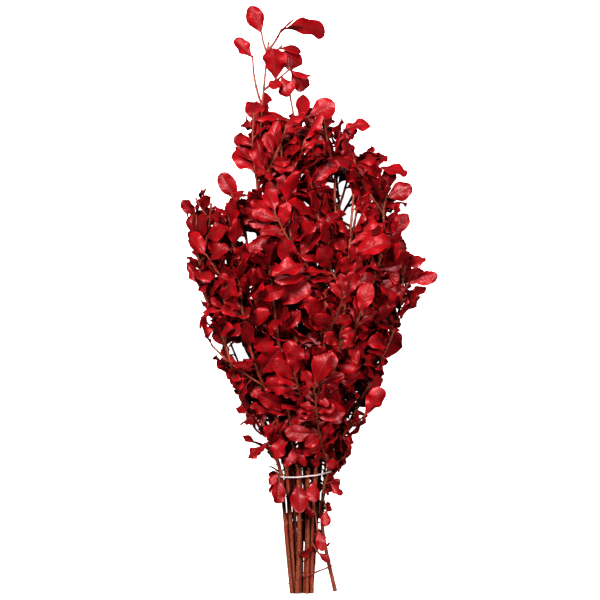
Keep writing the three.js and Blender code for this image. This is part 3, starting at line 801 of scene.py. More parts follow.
def with_stubs(tree, given, wood, bare):
    """The wood with stubs of trimmed shoots strewn over its bare part."""
    strewn = {"Mesh": wood, "Selection": bare, "Density": given["Stub Density"], "Seed": given["Seed"]}
    spots = wire(tree, "GeometryNodeDistributePointsOnFaces", strewn)
    stub = wire(tree, "GeometryNodeMeshCone", STUB)
    sizes = {**STUB_SIZES, "Seed": given["Seed"]}
    varied = wire(tree, "FunctionNodeRandomValue", sizes, data_type="FLOAT")
    placing = {
        "Points": spots.outputs["Points"],
        "Instance": stub.outputs["Mesh"],
        "Rotation": spots.outputs["Rotation"],
        "Scale": math_of(tree, "MULTIPLY", varied.outputs[1], given["Stub Size"]),
    }
    stubs = wire(tree, "GeometryNodeInstanceOnPoints", placing)
    both = tree.nodes.new("GeometryNodeJoinGeometry")
    for part in (stubs.outputs[0], wood):
        tree.links.new(part, both.inputs[0])
    return both.outputs[0]


def kept_in_box(tree, given, geometry):
    """Holds each point between the solids' lowest and highest corners."""
    place = wire(tree, "GeometryNodeInputPosition").outputs[0]
    for corner, side in (("Low Corner", "MAXIMUM"), ("High Corner", "MINIMUM")):
        place = wire(tree, "ShaderNodeVectorMath", {0: place, 1: given[corner]}, operation=side).outputs[0]
    return wire(tree, "GeometryNodeSetPosition", {"Geometry": geometry, "Position": place}).outputs[0]


def wood_tree():
    """Rounds bare lines into bark with relief, stubs and cut ends."""
    tree, given = geometry_tree(
        "wood",
        (
            ("Sides", "Int", 10),
            ("Relief", "Float", 0.00018),
            ("Grain", "Float", 420.0),
            ("Bare Below", "Float", 0.0),
            ("Stub Density", "Float", 2600.0),
            ("Stub Size", "Float", 0.0011),
            ("Seed", "Int", 0),
            ("Low Corner", "Vector", None),
            ("High Corner", "Vector", None),
            ("Bark", "Material", None),
            ("Cut Wood", "Material", None),
        ),
    )
    bare = bare_part(tree, given)
    rough = with_stubs(tree, given, lumpy_tube(tree, given), bare)
    kept = kept_in_box(tree, given, made_real(tree, rough))
    corners = wire(tree, "GeometryNodeInputMeshFaceNeighbors").outputs["Vertex Count"]
    is_side = math_of(tree, "LESS_THAN", corners, SIDE_CORNERS)
    is_cut = math_of(tree, "MULTIPLY", math_of(tree, "GREATER_THAN", corners, SIDE_CORNERS), bare)
    soft = wire(tree, "GeometryNodeSetShadeSmooth", {"Geometry": kept, "Shade Smooth": is_side}).outputs[0]
    barked = dressed_in(tree, soft, given["Bark"])
    cut = dressed_in(tree, barked, given["Cut Wood"], is_cut)
    wire(tree, "NodeGroupOutput", {"Geometry": cut})
    return tree


BARK_SHADOW = (0.06, 0.007, 0.003, 1)
BARK_BROWN = (0.3, 0.076, 0.033, 1)
BARK_RED = (0.2, 0.022, 0.011, 1)
PORE_BUFF = (0.46, 0.2, 0.12, 1)
ALONG_GRAIN = (1, 0.14, 1)
ALONG_PORES = (1, 0.55, 1)
GRAIN_SCALE = 1500.0
PATCH_SCALE = 38.0
PORE_SCALE = 420.0
BARK_HEIGHT = 0.00025


def bark_material():
    """Grained red-brown bark with redder patches and pale pores."""
    made, tree, shader = new_material("dyed bark", {"Roughness": 0.5, "Specular IOR Level": 0.32})
    grain = noise_of(tree, object_place(tree, ALONG_GRAIN), GRAIN_SCALE, 5.0, 0.6)
    patches = noise_of(tree, object_place(tree), PATCH_SCALE, 3.0)
    brown = blend_colours(tree, ramp_between(tree, grain, 0.3, 0.7), BARK_SHADOW, BARK_BROWN)
    shade = blend_colours(tree, ramp_between(tree, patches, 0.42, 0.66), brown, BARK_RED)
    sockets = {"Vector": object_place(tree, ALONG_PORES), "Scale": PORE_SCALE}
    pores = wire(tree, "ShaderNodeTexVoronoi", sockets)
    pore = ramp_between(tree, pores.outputs["Distance"], 0.16, 0.08)
    shade = blend_colours(tree, math_of(tree, "MULTIPLY", pore, 0.7), shade, PORE_BUFF)
    tree.links.new(shade, shader.inputs["Base Color"])
    add_bump(tree, shader, math_of(tree, "ADD", grain, pore), BARK_HEIGHT, 0.7)
    return made


HEARTWOOD = (0.3, 0.1, 0.06, 1)
PALE_WOOD = (0.62, 0.36, 0.24, 1)
FIBRE_HEIGHT = 0.0002


def cut_material():
    """Pale fibres of a fresh cut."""
    made, tree, shader = new_material("cut wood", {"Roughness": 0.75})
    fibres = noise_of(tree, object_place(tree), 1600.0, 4.0)
    tree.links.new(blend_colours(tree, fibres, HEARTWOOD, PALE_WOOD), shader.inputs["Base Color"])
    add_bump(tree, shader, fibres, FIBRE_HEIGHT)
    return made


node_names = [f"leafy_stem_{stem.stem + 1:02d}" for stem in stem_limbs]
node_corners = [corners_of(node) for node in node_names]
limbs = [[stem, *twigs_of(stem, corners)] for stem, corners in zip(stem_limbs, node_corners)]
wood = wood_tree()
bark = bark_material()
cut_wood = cut_material()
LEAF_PITCH = 11.6


def site_shares(limb):
    """Where leaves can sit along a limb, as shares of its length, from its root to its tip."""
    run = limb.length * (limb.leaves_to - limb.leaves_from)
    sites = max(2, math.floor(run / LEAF_PITCH + 0.5) + 1)
    return np.linspace(limb.leaves_from, limb.leaves_to, sites)


for parts in limbs:
    stem = parts[0]
    chains = [limb_chain(limb, site_shares(limb)) for limb in parts]
    piece = line_object(f"wood_{stem.stem + 1:02d}", chains)
    values = {
        "Bare Below": to_frame((0, BARE_BELOW, 0))[1],
        "Seed": stem.stem,
        "Low Corner": cad_box[0],
        "High Corner": cad_box[1],
        "Bark": bark,
        "Cut Wood": cut_wood,
    }
    grow(piece, wood, values)
    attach(piece, "root")
    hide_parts(node_names[stem.stem])

# Leaves
# Thick leathery leaves, spoon-shaped with blunt tips, dyed crimson and kept supple with glycerine. Each is
# one closed blade on a short stalk, with a rib and waved margins. The solids' own leaves stand first, then
# low ones, then those that fill the free places.
LEAF_EVERY = 5
LEAF_TRIES = 8
TIP_LEAF_TRIES = 24
LEAF_SHRINK = 0.04
LEAF_SMALLEST = 0.55
LEAF_LENGTH = (38, 54)
LEAF_HALF_WIDTH = (0.22, 0.29)
LEAF_ARCH = (-0.45, 1.3)
LEAF_TWIST = 0.85
LEAF_FOLD = (-0.12, 0.45)
LEAF_WAVE = (0.035, 0.072)
LEAF_WAVES = (1.8, 2.6)
LEAF_LAG = (1.5, 4.5)
LEAF_SPREAD = (0.65, 1.45)
TIP_LEAF_SPREAD = (0.05, 0.45)
FACE_INWARD = 0.35
FACE_OUTWARD = 0.65
FACE_ROLL = 0.7
FACE_UPWARD = 1.3
CORE_HEIGHT = 0.45
TOP_SHRINK = 0.15
LOW_SHRINK = 0.4
LED_KEY = 1000
HALFWAY_KEY = 500
QUARTER_KEY = 600
LOW_KEY = 700
FULL_SIZE_FROM = 190
SOLID_HALF_THICKNESS = 0.4
SOLID_CORNERS = ((1, 0), (0.42, -1.06), (0.78, -1.1), (0.9, 1.12), (0.66, 1.04), (0.36, 1.02))
OUTLINE_SLACK = 4
TOP_ROUNDNESS = 0.6

# The room that the bunch fills: distance from the cut ends, left edge, right edge and height.
OUTLINE = np.array(
    (
        (0, -16, 44, 24), (60, -22, 38, 40), (100, -34, 42, 56), (135, -48, 48, 72), (165, -62, 58, 92),
        (190, -68, 66, 106), (220, -70, 84, 120), (255, -88, 91, 134), (285, -102, 98, 144),
        (310, -114, 118, 150), (335, -118, 132, 154), (352, -124, 149, 155), (376, -124, 134, 156),
        (425, -126, 114, 154), (440, -118, 117, 152), (462, -90, 115, 150), (480, -80, 98, 146),
        (505, -80, 70, 140), (522, -76, 76, 134), (536, -60, 40, 134), (552, -48, 12, 136),
        (590, -70, 22, 136), (626, -74, 24, 134), (650, -64, -38, 130),
    ),
    dtype=float,
)

# Places where light shows through the bunch, seen from above: middle and radius.
OPENINGS = np.array(
    (
        (-62, 457, 14), (-90, 436, 11), (66, 500, 11), (48, 438, 13), (54, 416, 10), (38, 456, 10),
        (-60, 398, 10), (122, 395, 11), (-24, 541, 10), (-42, 146, 7),
    ),
    dtype=float,
)


@dataclass
class Leaf:
    """A blade's place and shape. It points along, its upper side looks along face."""

    root: np.ndarray
    along: np.ndarray
    face: np.ndarray
    length: float
    half_width: float
    arch: float
    twist: float
    fold: float
    wave: float
    waves: float
    phase: float
    lag: float
    hand: int
    key: tuple


def room_at(y):
    """Left edge, right edge and height of the bunch at a distance from the cut ends."""
    return [np.interp(y, OUTLINE[:, 0], OUTLINE[:, k]) for k in (1, 2, 3)]


def inside_bunch(point):
    """True where a point lies within the bunch's outline and under its rounded top."""
    left, right, height = room_at(point[1])
    across = (point[0] - (left + right) / 2) / ((right - left) / 2 + OUTLINE_SLACK)
    if abs(across) > 1 or point[1] > OUTLINE[-1, 0]:
        return False
    return point[2] <= height * math.sqrt(1 - TOP_ROUNDNESS * across**2)


def form_of(key, length):
    """How a leaf is turned, folded and waved, drawn by its key."""
    return {
        "length": length,
        "twist": between(-LEAF_TWIST, LEAF_TWIST, *key, 103),
        "fold": between(*LEAF_FOLD, *key, 104),
        "wave": length * between(*LEAF_WAVE, *key, 105),
        "waves": between(*LEAF_WAVES, *key, 106),
        "phase": between(0, 6, *key, 107),
        "lag": between(*LEAF_LAG, *key, 108),
        "hand": -1 if draw(*key, 109) < 0.5 else 1,
        "key": key,
    }


def shrunk(attempt):
    """The size of a leaf that is tried anew, as a share of the first try's."""
    return max(LEAF_SMALLEST, 1 - LEAF_SHRINK * attempt)


def outward_at(point):
    """The way out of the bunch, from its core past a point, upwards more than to the sides."""
    left, right, height = room_at(point[1])
    upward = FACE_UPWARD * (point[2] - CORE_HEIGHT * height)
    return unit(np.array([point[0] - (left + right) / 2, 0, upward]))


def leaf_at(limb, number, share, attempt, opening=1.0):
    """The leaf at a site of a limb. Each new attempt turns and rolls it anew and makes it smaller."""
    key = (limb.stem, limb.number, number)
    root, along = place_on(limb.points, share)
    at_tip = limb.leaves_to == LAST_LEAF and share > LAST_LEAF - 1e-9
    start = between(0, 6, limb.stem, limb.number, 4)
    side = start + number * GOLDEN_ANGLE + attempt * between(0.5, 1, *key, 5 + attempt)
    spread = opening * between(*(TIP_LEAF_SPREAD if at_tip else LEAF_SPREAD), *key, 20 + attempt)
    out = radial(along, side)
    direction = along * math.cos(spread) + out * math.sin(spread)
    inward = along * math.sin(spread) - out * math.cos(spread)
    roll = [between(-FACE_ROLL, FACE_ROLL, *key, turn + attempt) for turn in (40, 60, 80)]
    face = FACE_INWARD * inward + FACE_OUTWARD * outward_at(root) + roll
    young = (1 - TOP_SHRINK * share**3) * min(max(root[1] / FULL_SIZE_FROM, LOW_SHRINK), 1)
    length = between(*LEAF_LENGTH, *key, 100) * young * shrunk(attempt)
    return Leaf(
        root=root,
        along=direction,
        face=unit(face - direction * (face @ direction)),
        half_width=length * between(*LEAF_HALF_WIDTH, *key, 101),
        arch=between(*LEAF_ARCH, *key, 102),
        **form_of(key, length),
    )


def leaf_between(root, tip, wide, arch, facing, key):
    """A leaf that leaves its limb at a root, arches, and ends at its tip."""
    reach = np.linalg.norm(tip - root)
    chord = unit(tip - root)
    length = reach * arch / 2 / math.sin(arch / 2)
    face = unit(facing - chord * (facing @ chord))
    return Leaf(
        root=root,
        along=chord * math.cos(arch / 2) + face * math.sin(arch / 2),
        face=face * math.cos(arch / 2) - chord * math.sin(arch / 2),
        half_width=wide * length,
        arch=arch,
        **form_of(key, length),
    )


def led_leaf(limb, number):
    """A leaf that is led to a place, from a share of its limb."""
    share, *led = limb.led[number]
    return leaf_between(place_on(limb.points, share)[0], *led, (limb.stem, limb.number, LED_KEY + number))


def blunt(share):
    """Half the blade's width at a share of its length: widest past the middle, blunt at the tip."""
    return np.sin(np.pi * share**1.3) ** 0.75


def blade_at(leaf, share, width, lift):
    """Points to the side of the rib and above it, and the blade's upward directions there."""
    bend = leaf.arch * share
    reach = np.sin(bend) / leaf.arch * leaf.length
    drop = (1 - np.cos(bend)) / leaf.arch * leaf.length
    side = np.cross(leaf.face, leaf.along)
    normal = np.multiply.outer(np.cos(bend), leaf.face) + np.multiply.outer(np.sin(bend), leaf.along)
    turn = (leaf.twist * share)[..., None]
    turned_side = side * np.cos(turn) + normal * np.sin(turn)
    turned_normal = normal * np.cos(turn) - side * np.sin(turn)
    points = (
        leaf.root
        + np.multiply.outer(reach, leaf.along)
        - np.multiply.outer(drop, leaf.face)
        + turned_side * width[..., None]
        + turned_normal * lift[..., None]
    )
    return points, turned_normal


def margin_lift(leaf, share, across, width):
    """How far the fold and the waves raise the blade off its flat form."""
    swell = np.sin(2 * np.pi * leaf.waves * share + leaf.phase + np.where(across > 0, 0, leaf.lag))
    loose = np.minimum(1, 4 * share * (1.25 - share))
    return leaf.fold * np.abs(width) + leaf.wave * across**2 * swell * loose


def solid_corners(leaf):
    """The free corners of the leaf's solid, on both its sides."""
    share, across = np.array(SOLID_CORNERS, float).T
    across = across * leaf.hand
    width = leaf.half_width * blunt(share) * across
    points, normals = blade_at(leaf, share, width, margin_lift(leaf, share, across, width))
    sunk = points[:, 2] < SOLID_HALF_THICKNESS
    points[sunk, 2] = SOLID_HALF_THICKNESS
    normals[sunk] = UP * (np.sign(leaf.face[2]) or 1)
    both = np.vstack([points + normals * SOLID_HALF_THICKNESS, points - normals * SOLID_HALF_THICKNESS])
    both[:, 2] = np.maximum(both[:, 2], 0)
    return both


def solid_leaves(limb, corners):
    """The leaves that the stem's solid has on a limb, by their numbers."""
    found = {LED_KEY + k: led_leaf(limb, k) for k in range(len(limb.led))}
    if limb.number and limb.led:
        return found
    shares = site_shares(limb)
    last = len(shares) - 1
    for i in range(last, -1, -LEAF_EVERY):
        tries = TIP_LEAF_TRIES if i == last else LEAF_TRIES
        leaves = (leaf_at(limb, i, shares[i], attempt) for attempt in range(tries))
        leaf = next((leaf for leaf in leaves if count_found(corners, solid_corners(leaf))), None)
        if leaf is not None:
            found[i] = leaf
    return found


own = [[solid_leaves(limb, corners) for limb in parts] for parts, corners in zip(limbs, node_corners)]


# The blade's grids: shares of the length, close together at the tip, and places across.
ROWS = np.array(
    (0, 0.05, 0.1, 0.15, 0.21, 0.28, 0.35, 0.42, 0.49, 0.56, 0.63, 0.7, 0.77, 0.83, 0.89, 0.94, 0.975)
    + (0.998,)
)
COLUMNS = np.array((-1, -0.8, -0.45, -0.07, 0, 0.07, 0.45, 0.8, 1))
SMALL_ROWS = np.array((0, 0.07, 0.14, 0.22, 0.32, 0.42, 0.52, 0.62, 0.72, 0.81, 0.89, 0.95, 0.985, 0.998))
SMALL_COLUMNS = np.array((-1, -0.85, -0.5, -0.08, 0, 0.08, 0.5, 0.85, 1))
TEST_ROWS = np.array((0, 0.12, 0.25, 0.4, 0.55, 0.7, 0.85, 0.99))
TEST_COLUMNS = np.array((-1, -0.5, 0, 0.5, 1))
WIDEST = (0.56, 0.68)
TIP_ROUNDNESS = (0.42, 0.66)
STALK_HALF_WIDTH = 0.6
STALK_HALF_THICKNESS = 0.5
BLADE_HALF_THICKNESS = 0.2
MARGIN_HALF_THICKNESS = 0.11
RIB_HEIGHT = 0.35
RIB_GROOVE = 0.18
FOOT_SLIMNESS = 1.55
SCALLOP_DEPTH = 0.025
SCALLOPS = 2.7
CRISPS = 1.45
CRISP = 0.5
CUP = (-0.15, 0.5)


def ease(share, low, high):
    t = np.clip((share - low) / (high - low), 0, 1)
    return t * t * (3 - 2 * t)


def spoon(leaf, share):
    """Half the blade's width along it: a slender foot, widest past the middle, and a round tip."""
    widest = between(*WIDEST, *leaf.key, 201)
    rising = np.sin(np.pi / 2 * np.clip(share / widest, 0, 1)) ** FOOT_SLIMNESS
    past = np.clip((share - widest) / (1 - widest), 0, 1)
    falling = (1 - past**2) ** between(*TIP_ROUNDNESS, *leaf.key, 202)
    return leaf.half_width * np.where(share < widest, rising, falling)


def fine_blade(leaf, rows, columns):
    """The blade's points, upward directions and half thickness, row by row."""
    share, across = (grid.ravel() for grid in np.meshgrid(rows, columns * leaf.hand, indexing="ij"))
    scallop = 1 + SCALLOP_DEPTH * np.sin(2 * np.pi * SCALLOPS * leaf.waves * share + leaf.lag)
    width = np.maximum(spoon(leaf, share) * scallop, STALK_HALF_WIDTH * ease(share, 1.02, 0.9)) * across
    lag = np.where(across > 0, 0, leaf.lag)
    crisp = np.sin(2 * np.pi * CRISPS * leaf.waves * share + 2 * leaf.phase + lag)
    loose = ease(share, 0.1, 0.35) * np.minimum(1, 4 * (1.05 - share))
    cup = between(*CUP, *leaf.key, 203) * leaf.half_width
    lift = margin_lift(leaf, share, across, width) + (CRISP * leaf.wave * crisp - cup) * across**2 * loose
    points, normals = blade_at(leaf, share, width, lift)
    half = lerp(BLADE_HALF_THICKNESS, MARGIN_HALF_THICKNESS, across**2)
    half = lerp(STALK_HALF_THICKNESS, half, ease(share, 0.05, 0.17))
    return share, across, width, points, normals, half


def keep_on_surface(points, normals, half):
    """What would sink into the surface lies flat on it."""
    sunk = points[:, 2] < half
    points[sunk, 2] = half[sunk]
    normals[sunk] = UP * np.where(normals[sunk, 2:] < 0, -1, 1)


def grid_faces(rows, columns, first=0):
    """Faces of a grid of points, seen from its upper side."""
    corner = first + np.arange(rows * columns).reshape(rows, columns)
    ring = (corner[:-1, :-1], corner[:-1, 1:], corner[1:, 1:], corner[1:, :-1])
    return np.stack(ring, axis=-1).reshape(-1, 4)


def rim_loop(rows, columns):
    """The points round a grid's edge, in order."""
    corner = np.arange(rows * columns).reshape(rows, columns)
    return np.concatenate([corner[0, :-1], corner[:-1, -1], corner[-1, :0:-1], corner[:0:-1, 0]])


def edge_faces(rim, count):
    """The faces that join two sheets, each of so many points, round their rim."""
    after = np.roll(rim, -1)
    return np.stack([rim, after, after + count, rim + count], axis=-1)


def shell_of(leaf, rows, columns, grow):
    """A closed shell round the blade, as points and faces, for telling where it crosses others."""
    _, _, _, points, normals, _ = fine_blade(leaf, rows, columns)
    normals = normals * grow
    count = len(points)
    upper = grid_faces(len(rows), len(columns))
    side = edge_faces(rim_loop(len(rows), len(columns)), count)
    faces = np.vstack([upper, upper[:, ::-1] + count, side])
    return np.vstack([points + normals, points - normals]), faces


def sheet_of(leaf, rows, columns):
    """The blade's middle sheet, as points and faces."""
    _, _, _, points, _, _ = fine_blade(leaf, rows, columns)
    return points, grid_faces(len(rows), len(columns))


def tube_of(points, radius, sides=5):
    """A coarse tube round a line, as points and faces."""
    rings = []
    for k, point in enumerate(points):
        along = unit(points[min(k + 1, len(points) - 1)] - points[max(k - 1, 0)])
        turns = np.linspace(0, 2 * math.pi, sides, endpoint=False)
        rings.append([point + radial(along, turn) * radius[k] for turn in turns])
    corner = np.arange(len(points) * sides).reshape(len(points), sides)
    here, there = corner[:-1], corner[1:]
    faces = np.stack([here, np.roll(here, -1, 1), np.roll(there, -1, 1), there], axis=-1)
    return np.concatenate(rings), faces.reshape(-1, 4)


MOST_STANDING = 4096


class Standing:
    """What stands already: trees of faces with their boxes and owners."""

    def __init__(self):
        self.lows = np.empty((MOST_STANDING, 3))
        self.highs = np.empty((MOST_STANDING, 3))
        self.trees = []
        self.owners = []

    def add(self, points, faces, owner):
        k = len(self.trees)
        self.lows[k], self.highs[k] = points.min(axis=0), points.max(axis=0)
        self.trees.append(BVHTree.FromPolygons(points.tolist(), faces.tolist()))
        self.owners.append(owner)

    def crosses(self, points, faces, apart_from=()):
        """True where faces cross anything that stands, some owners left out."""
        count = len(self.trees)
        near = (self.lows[:count] <= points.max(axis=0)) & (self.highs[:count] >= points.min(axis=0))
        hits = [k for k in np.flatnonzero(near.all(axis=1)) if self.owners[k] not in apart_from]
        if not hits:
            return False
        tree = BVHTree.FromPolygons(points.tolist(), faces.tolist())
        return any(tree.overlap(self.trees[k]) for k in hits)


BLADE_ROOM = 0.35
WOOD_ROOM = 0.3
WOOD_TEST_STEPS = 4
TIE_TEST_STEP = 4
CALMS = (1, 0.7, 0.4, 0.15)

wood_standing, leaves_standing = Standing(), Standing()
for parts in limbs:
    for limb in parts:
        line = smooth_route(limb.points, WOOD_TEST_STEPS * (len(limb.points) - 1))
        radius = lerp(*limb.radii, np.linspace(0, 1, len(line))) + WOOD_ROOM
        wood_standing.add(*tube_of(line, radius), limb.stem)
for loop, line_radius in ((band_loop, BAND_RADIUS), (thread_loop, THREAD_RADIUS)):
    closed = np.vstack([loop[::TIE_TEST_STEP], loop[:1]])
    wood_standing.add(*tube_of(closed, [line_radius + WOOD_ROOM] * len(closed)), "tie")


def is_free(leaf):
    """True where a leaf crosses no wood and no other leaf, its stalk's own stem left out."""
    blade = shell_of(leaf, TEST_ROWS[1:], TEST_COLUMNS, BLADE_ROOM)
    if wood_standing.crosses(*blade) or leaves_standing.crosses(*blade):
        return False
    whole = sheet_of(leaf, TEST_ROWS, TEST_COLUMNS)
    return not (wood_standing.crosses(*whole, (leaf.key[0],)) or leaves_standing.crosses(*whole))


def let_stand(leaf):
    leaves_standing.add(*sheet_of(leaf, TEST_ROWS, TEST_COLUMNS), leaf.key[0])
    return leaf


def settle(leaf):
    """A solid's leaf, its margins calmed where they would cross a neighbour."""
    for calm in CALMS:
        calmed = replace(leaf, wave=leaf.wave * calm)
        if is_free(calmed):
            break
    return let_stand(calmed)


def spare_sites(limb, found):
    """The limb's sites that the solids leave bare, and two places between each site and the next."""
    if limb.number and limb.led:
        return [], [], []
    shares = site_shares(limb)
    bare = [(i, share) for i, share in enumerate(shares) if i not in found]
    halfway = [(HALFWAY_KEY + i, share) for i, share in enumerate((shares[1:] + shares[:-1]) / 2)]
    quarter = [(QUARTER_KEY + i, share) for i, share in enumerate((shares[1:] + 3 * shares[:-1]) / 4)]
    return bare[::-1], halfway[::-1], quarter[::-1]


FILL_TRIES = 26
FILL_LONGEST = 1.1
FILL_SHRINK = 0.028
FILL_SHORTEST = 0.55
FILL_ARCH = 1.35
FILL_OPENING = 0.75
FILL_SLIM = (0.78, 1.0)
FIT_ROWS = np.array((0.3, 0.6, 0.85, 0.998))
FIT_COLUMNS = np.array((-1.0, 0, 1.0))
LOWEST = 0.5

# Seen from above: openings that only the smaller leaves keep clear, how far these reach into the others,
# and the box, by its low and high corner, where the band shows.
SMALL_OPENINGS = np.array(
    ((-88, 274, 11), (-68, 268, 8), (-58, 176, 9), (-28, 88, 9), (52, 132, 9))
)
OPENING_SHARE = 0.85
CLEAR_CIRCLES = np.vstack([OPENINGS * (1, 1, OPENING_SHARE), SMALL_OPENINGS])
BAND_SHOWN = ((-27, 126, 34), (29, 141, 200))


def fits(leaf):
    """True where the blade stays in the bunch, over the surface, off the openings and the band's front."""
    points, _ = sheet_of(leaf, FIT_ROWS, FIT_COLUMNS)
    if ((points > BAND_SHOWN[0]) & (points < BAND_SHOWN[1])).all(axis=1).any():
        return False
    apart = np.linalg.norm(points[:, None, :2] - CLEAR_CIRCLES[:, :2], axis=2) > CLEAR_CIRCLES[:, 2]
    return apart.all() and points[:, 2].min() > LOWEST and all(map(inside_bunch, points))


def fill_leaf(limb, number, share):
    """A leaf for a site that the solids leave bare, or None where no try is free."""
    for attempt in range(FILL_TRIES):
        leaf = leaf_at(limb, number, share, attempt, FILL_OPENING)
        shrink = max(FILL_SHORTEST, FILL_LONGEST - FILL_SHRINK * attempt) / shrunk(attempt)
        leaf = replace(
            leaf,
            length=leaf.length * shrink,
            half_width=leaf.half_width * shrink * between(*FILL_SLIM, *leaf.key, 204),
            wave=leaf.wave * shrink,
            arch=leaf.arch * FILL_ARCH,
        )
        if fits(leaf) and is_free(leaf):
            return let_stand(leaf)
    return None


foliage = [[settle(leaf) for found in parts for leaf in found.values()] for parts in own]

# Low on the stems small leaves lie under them, and longer ones hang over them: tips as seen from above.
UNDER_TIPS = (
    (-20, 154), (-17, 131), (-12, 166), (-12, 146), (-13, 125), (-10, 108), (-7, 95), (-6, 80), (3, 154),
    (3, 132), (3, 84), (3, 68), (20, 152), (22, 140), (20, 122), (19, 104), (19, 88), (18, 72), (8, 112),
    (-14, 90), (12, 160), (-27, 150), (28, 158),
)
OVER_TIPS = (
    (-18, 142), (4, 143), (17, 142), (28, 146), (-9, 146), (-46, 158), (-31, 151), (37, 152), (-24, 158),
    (-2, 158), (10, 159), (22, 160), (-36, 166), (32, 166), (43, 160), (-15, 170), (6, 172), (-42, 176),
    (25, 176), (40, 176), (-28, 178), (-8, 184), (16, 186),
)
LOW_SHARES = np.linspace(0.04, 0.4, 37)
UNDER_HEIGHTS = (11, 8, 5, 3)
OVER_HEIGHTS = (56, 52, 60, 48, 64, 44, 40, 36, 32, 28)
UNDER_REACH = (14, 38)
OVER_REACH = (20, 44)
LOW_ROOT = 1.9
LOW_ROLL = 0.7
LOW_LEAN = 0.75
TIPWARDS = 1
FOOTWARDS = -1


def low_leaf(tip, key, heights, reaches, way, wide, arch):
    """A leaf led from a stem's skin to a place low on the bunch, or None where no way there is free."""
    for height, share, parts in itertools.product(heights, LOW_SHARES, limbs):
        axis, along = place_on(parts[0].points, share)
        end = np.array((*tip, height), dtype=float)
        away = end - axis - along * ((end - axis) @ along)
        root = axis + LOW_ROOT * unit(away)
        reach = np.linalg.norm(end - root)
        if way * (end - root)[1] < LOW_LEAN * reach or not reaches[0] < reach < reaches[1]:
            continue
        facing = np.array((between(-LOW_ROLL, LOW_ROLL, *tip, key), 0.3, 1.0))
        leaf = leaf_between(root, end, wide, arch, facing, (parts[0].stem, 0, key))
        if fits(leaf) and is_free(leaf):
            return leaf
    return None


low_leaves = [(tip, UNDER_HEIGHTS, UNDER_REACH, TIPWARDS, 0.3, 0.3) for tip in UNDER_TIPS]
low_leaves += [(tip, OVER_HEIGHTS, OVER_REACH, FOOTWARDS, 0.27, 0.9) for tip in OVER_TIPS]
for number, (tip, *rest) in enumerate(low_leaves):
    leaf = low_leaf(tip, LOW_KEY + number, *rest)
    if leaf is not None:
        foliage[leaf.key[0]].append(let_stand(leaf))

# The sites left bare are filled first, then halfway and a quarter of the way to the next, twig by twig.
bare_sites = [[spare_sites(limb, found) for limb, found in zip(*pair)] for pair in zip(limbs, own)]
FAMILIES = 3
for family in range(FAMILIES):
    for turn in range(max(map(len, limbs))):
        for parts, bare, leaves in zip(limbs, bare_sites, foliage):
            for number, share in bare[turn][family] if turn < len(parts) else ():
                leaf = fill_leaf(parts[turn], number, share)
                if leaf is not None:
                    leaves.append(leaf)


def leaf_shape(leaf):
    """A closed blade: its points over and under, its faces, and what its material reads."""
    is_small = leaf.key[2] < LED_KEY and (leaf.key[2] >= HALFWAY_KEY or leaf.key not in solid_keys)
    rows, columns = (SMALL_ROWS, SMALL_COLUMNS) if is_small else (ROWS, COLUMNS)
    share, across, width, middle, normals, half = fine_blade(leaf, rows, columns)
    on_rib = np.abs(across) < 0.01
    solid = ease(share, 0.1, 0.25) * ease(share, 1.0, 0.8)
    keep_on_surface(middle, normals, half)
    over = middle + normals * (half - on_rib * RIB_GROOVE * solid)[:, None]
    under = middle - normals * (half + on_rib * RIB_HEIGHT * solid)[:, None]
    count = len(share)
    upper = grid_faces(len(rows), len(columns))
    rim = rim_loop(len(rows), len(columns))
    faces = np.vstack([upper[:, ::-1], upper + count, edge_faces(rim, count)])
    on_rim = np.isin(np.arange(count), rim)
    return {
        "points": np.vstack([over, under]),
        "faces": faces[:, ::-1] if leaf.hand < 0 else faces,
        "uv": np.tile(np.column_stack([share, 0.5 + across / 2]), (2, 1)),
        "tone": np.full(2 * count, draw(*leaf.key, 200)),
        "underside": np.repeat([0.0, 1.0], count),
        "from_rib": np.tile(width * MM, 2),
        "rim": np.tile(on_rim, 2),
    }


def sharpen_rims(mesh, rim, underside):
    """Smooth blades with a sharp edge where their sheets meet the rim's faces."""
    edges = np.empty(len(mesh.edges) * 2, dtype=int)
    mesh.edges.foreach_get("vertices", edges)
    ends = edges.reshape(-1, 2)
    same_side = underside[ends[:, 0]] == underside[ends[:, 1]]
    sharp = rim[ends].all(axis=1) & same_side
    mesh.attributes.new("sharp_edge", "BOOLEAN", "EDGE").data.foreach_set("value", sharp)
    mesh.shade_smooth()


def leaf_piece(name, leaves):
    """All the leaves of a stem as one mesh."""
    shapes = [leaf_shape(leaf) for leaf in leaves]
    firsts = np.cumsum([0] + [len(shape["points"]) for shape in shapes[:-1]])
    faces = np.concatenate([shape.pop("faces") + first for shape, first in zip(shapes, firsts)])
    joined = {label: np.concatenate([shape[label] for shape in shapes]) for label in shapes[0]}
    points = np.clip(to_frame(joined["points"]), *cad_box)
    mesh = bpy.data.meshes.new(name)
    mesh.from_pydata(points.tolist(), [], faces.tolist())
    for label in ("tone", "underside", "from_rib"):
        mesh.attributes.new(label, "FLOAT", "POINT").data.foreach_set("value", joined[label])
    corner = np.empty(len(mesh.loops), dtype=int)
    mesh.loops.foreach_get("vertex_index", corner)
    mesh.uv_layers.new(name="blade").data.foreach_set("uv", joined["uv"][corner].ravel())
    sharpen_rims(mesh, joined["rim"], joined["underside"])
    return new_object(name, mesh)


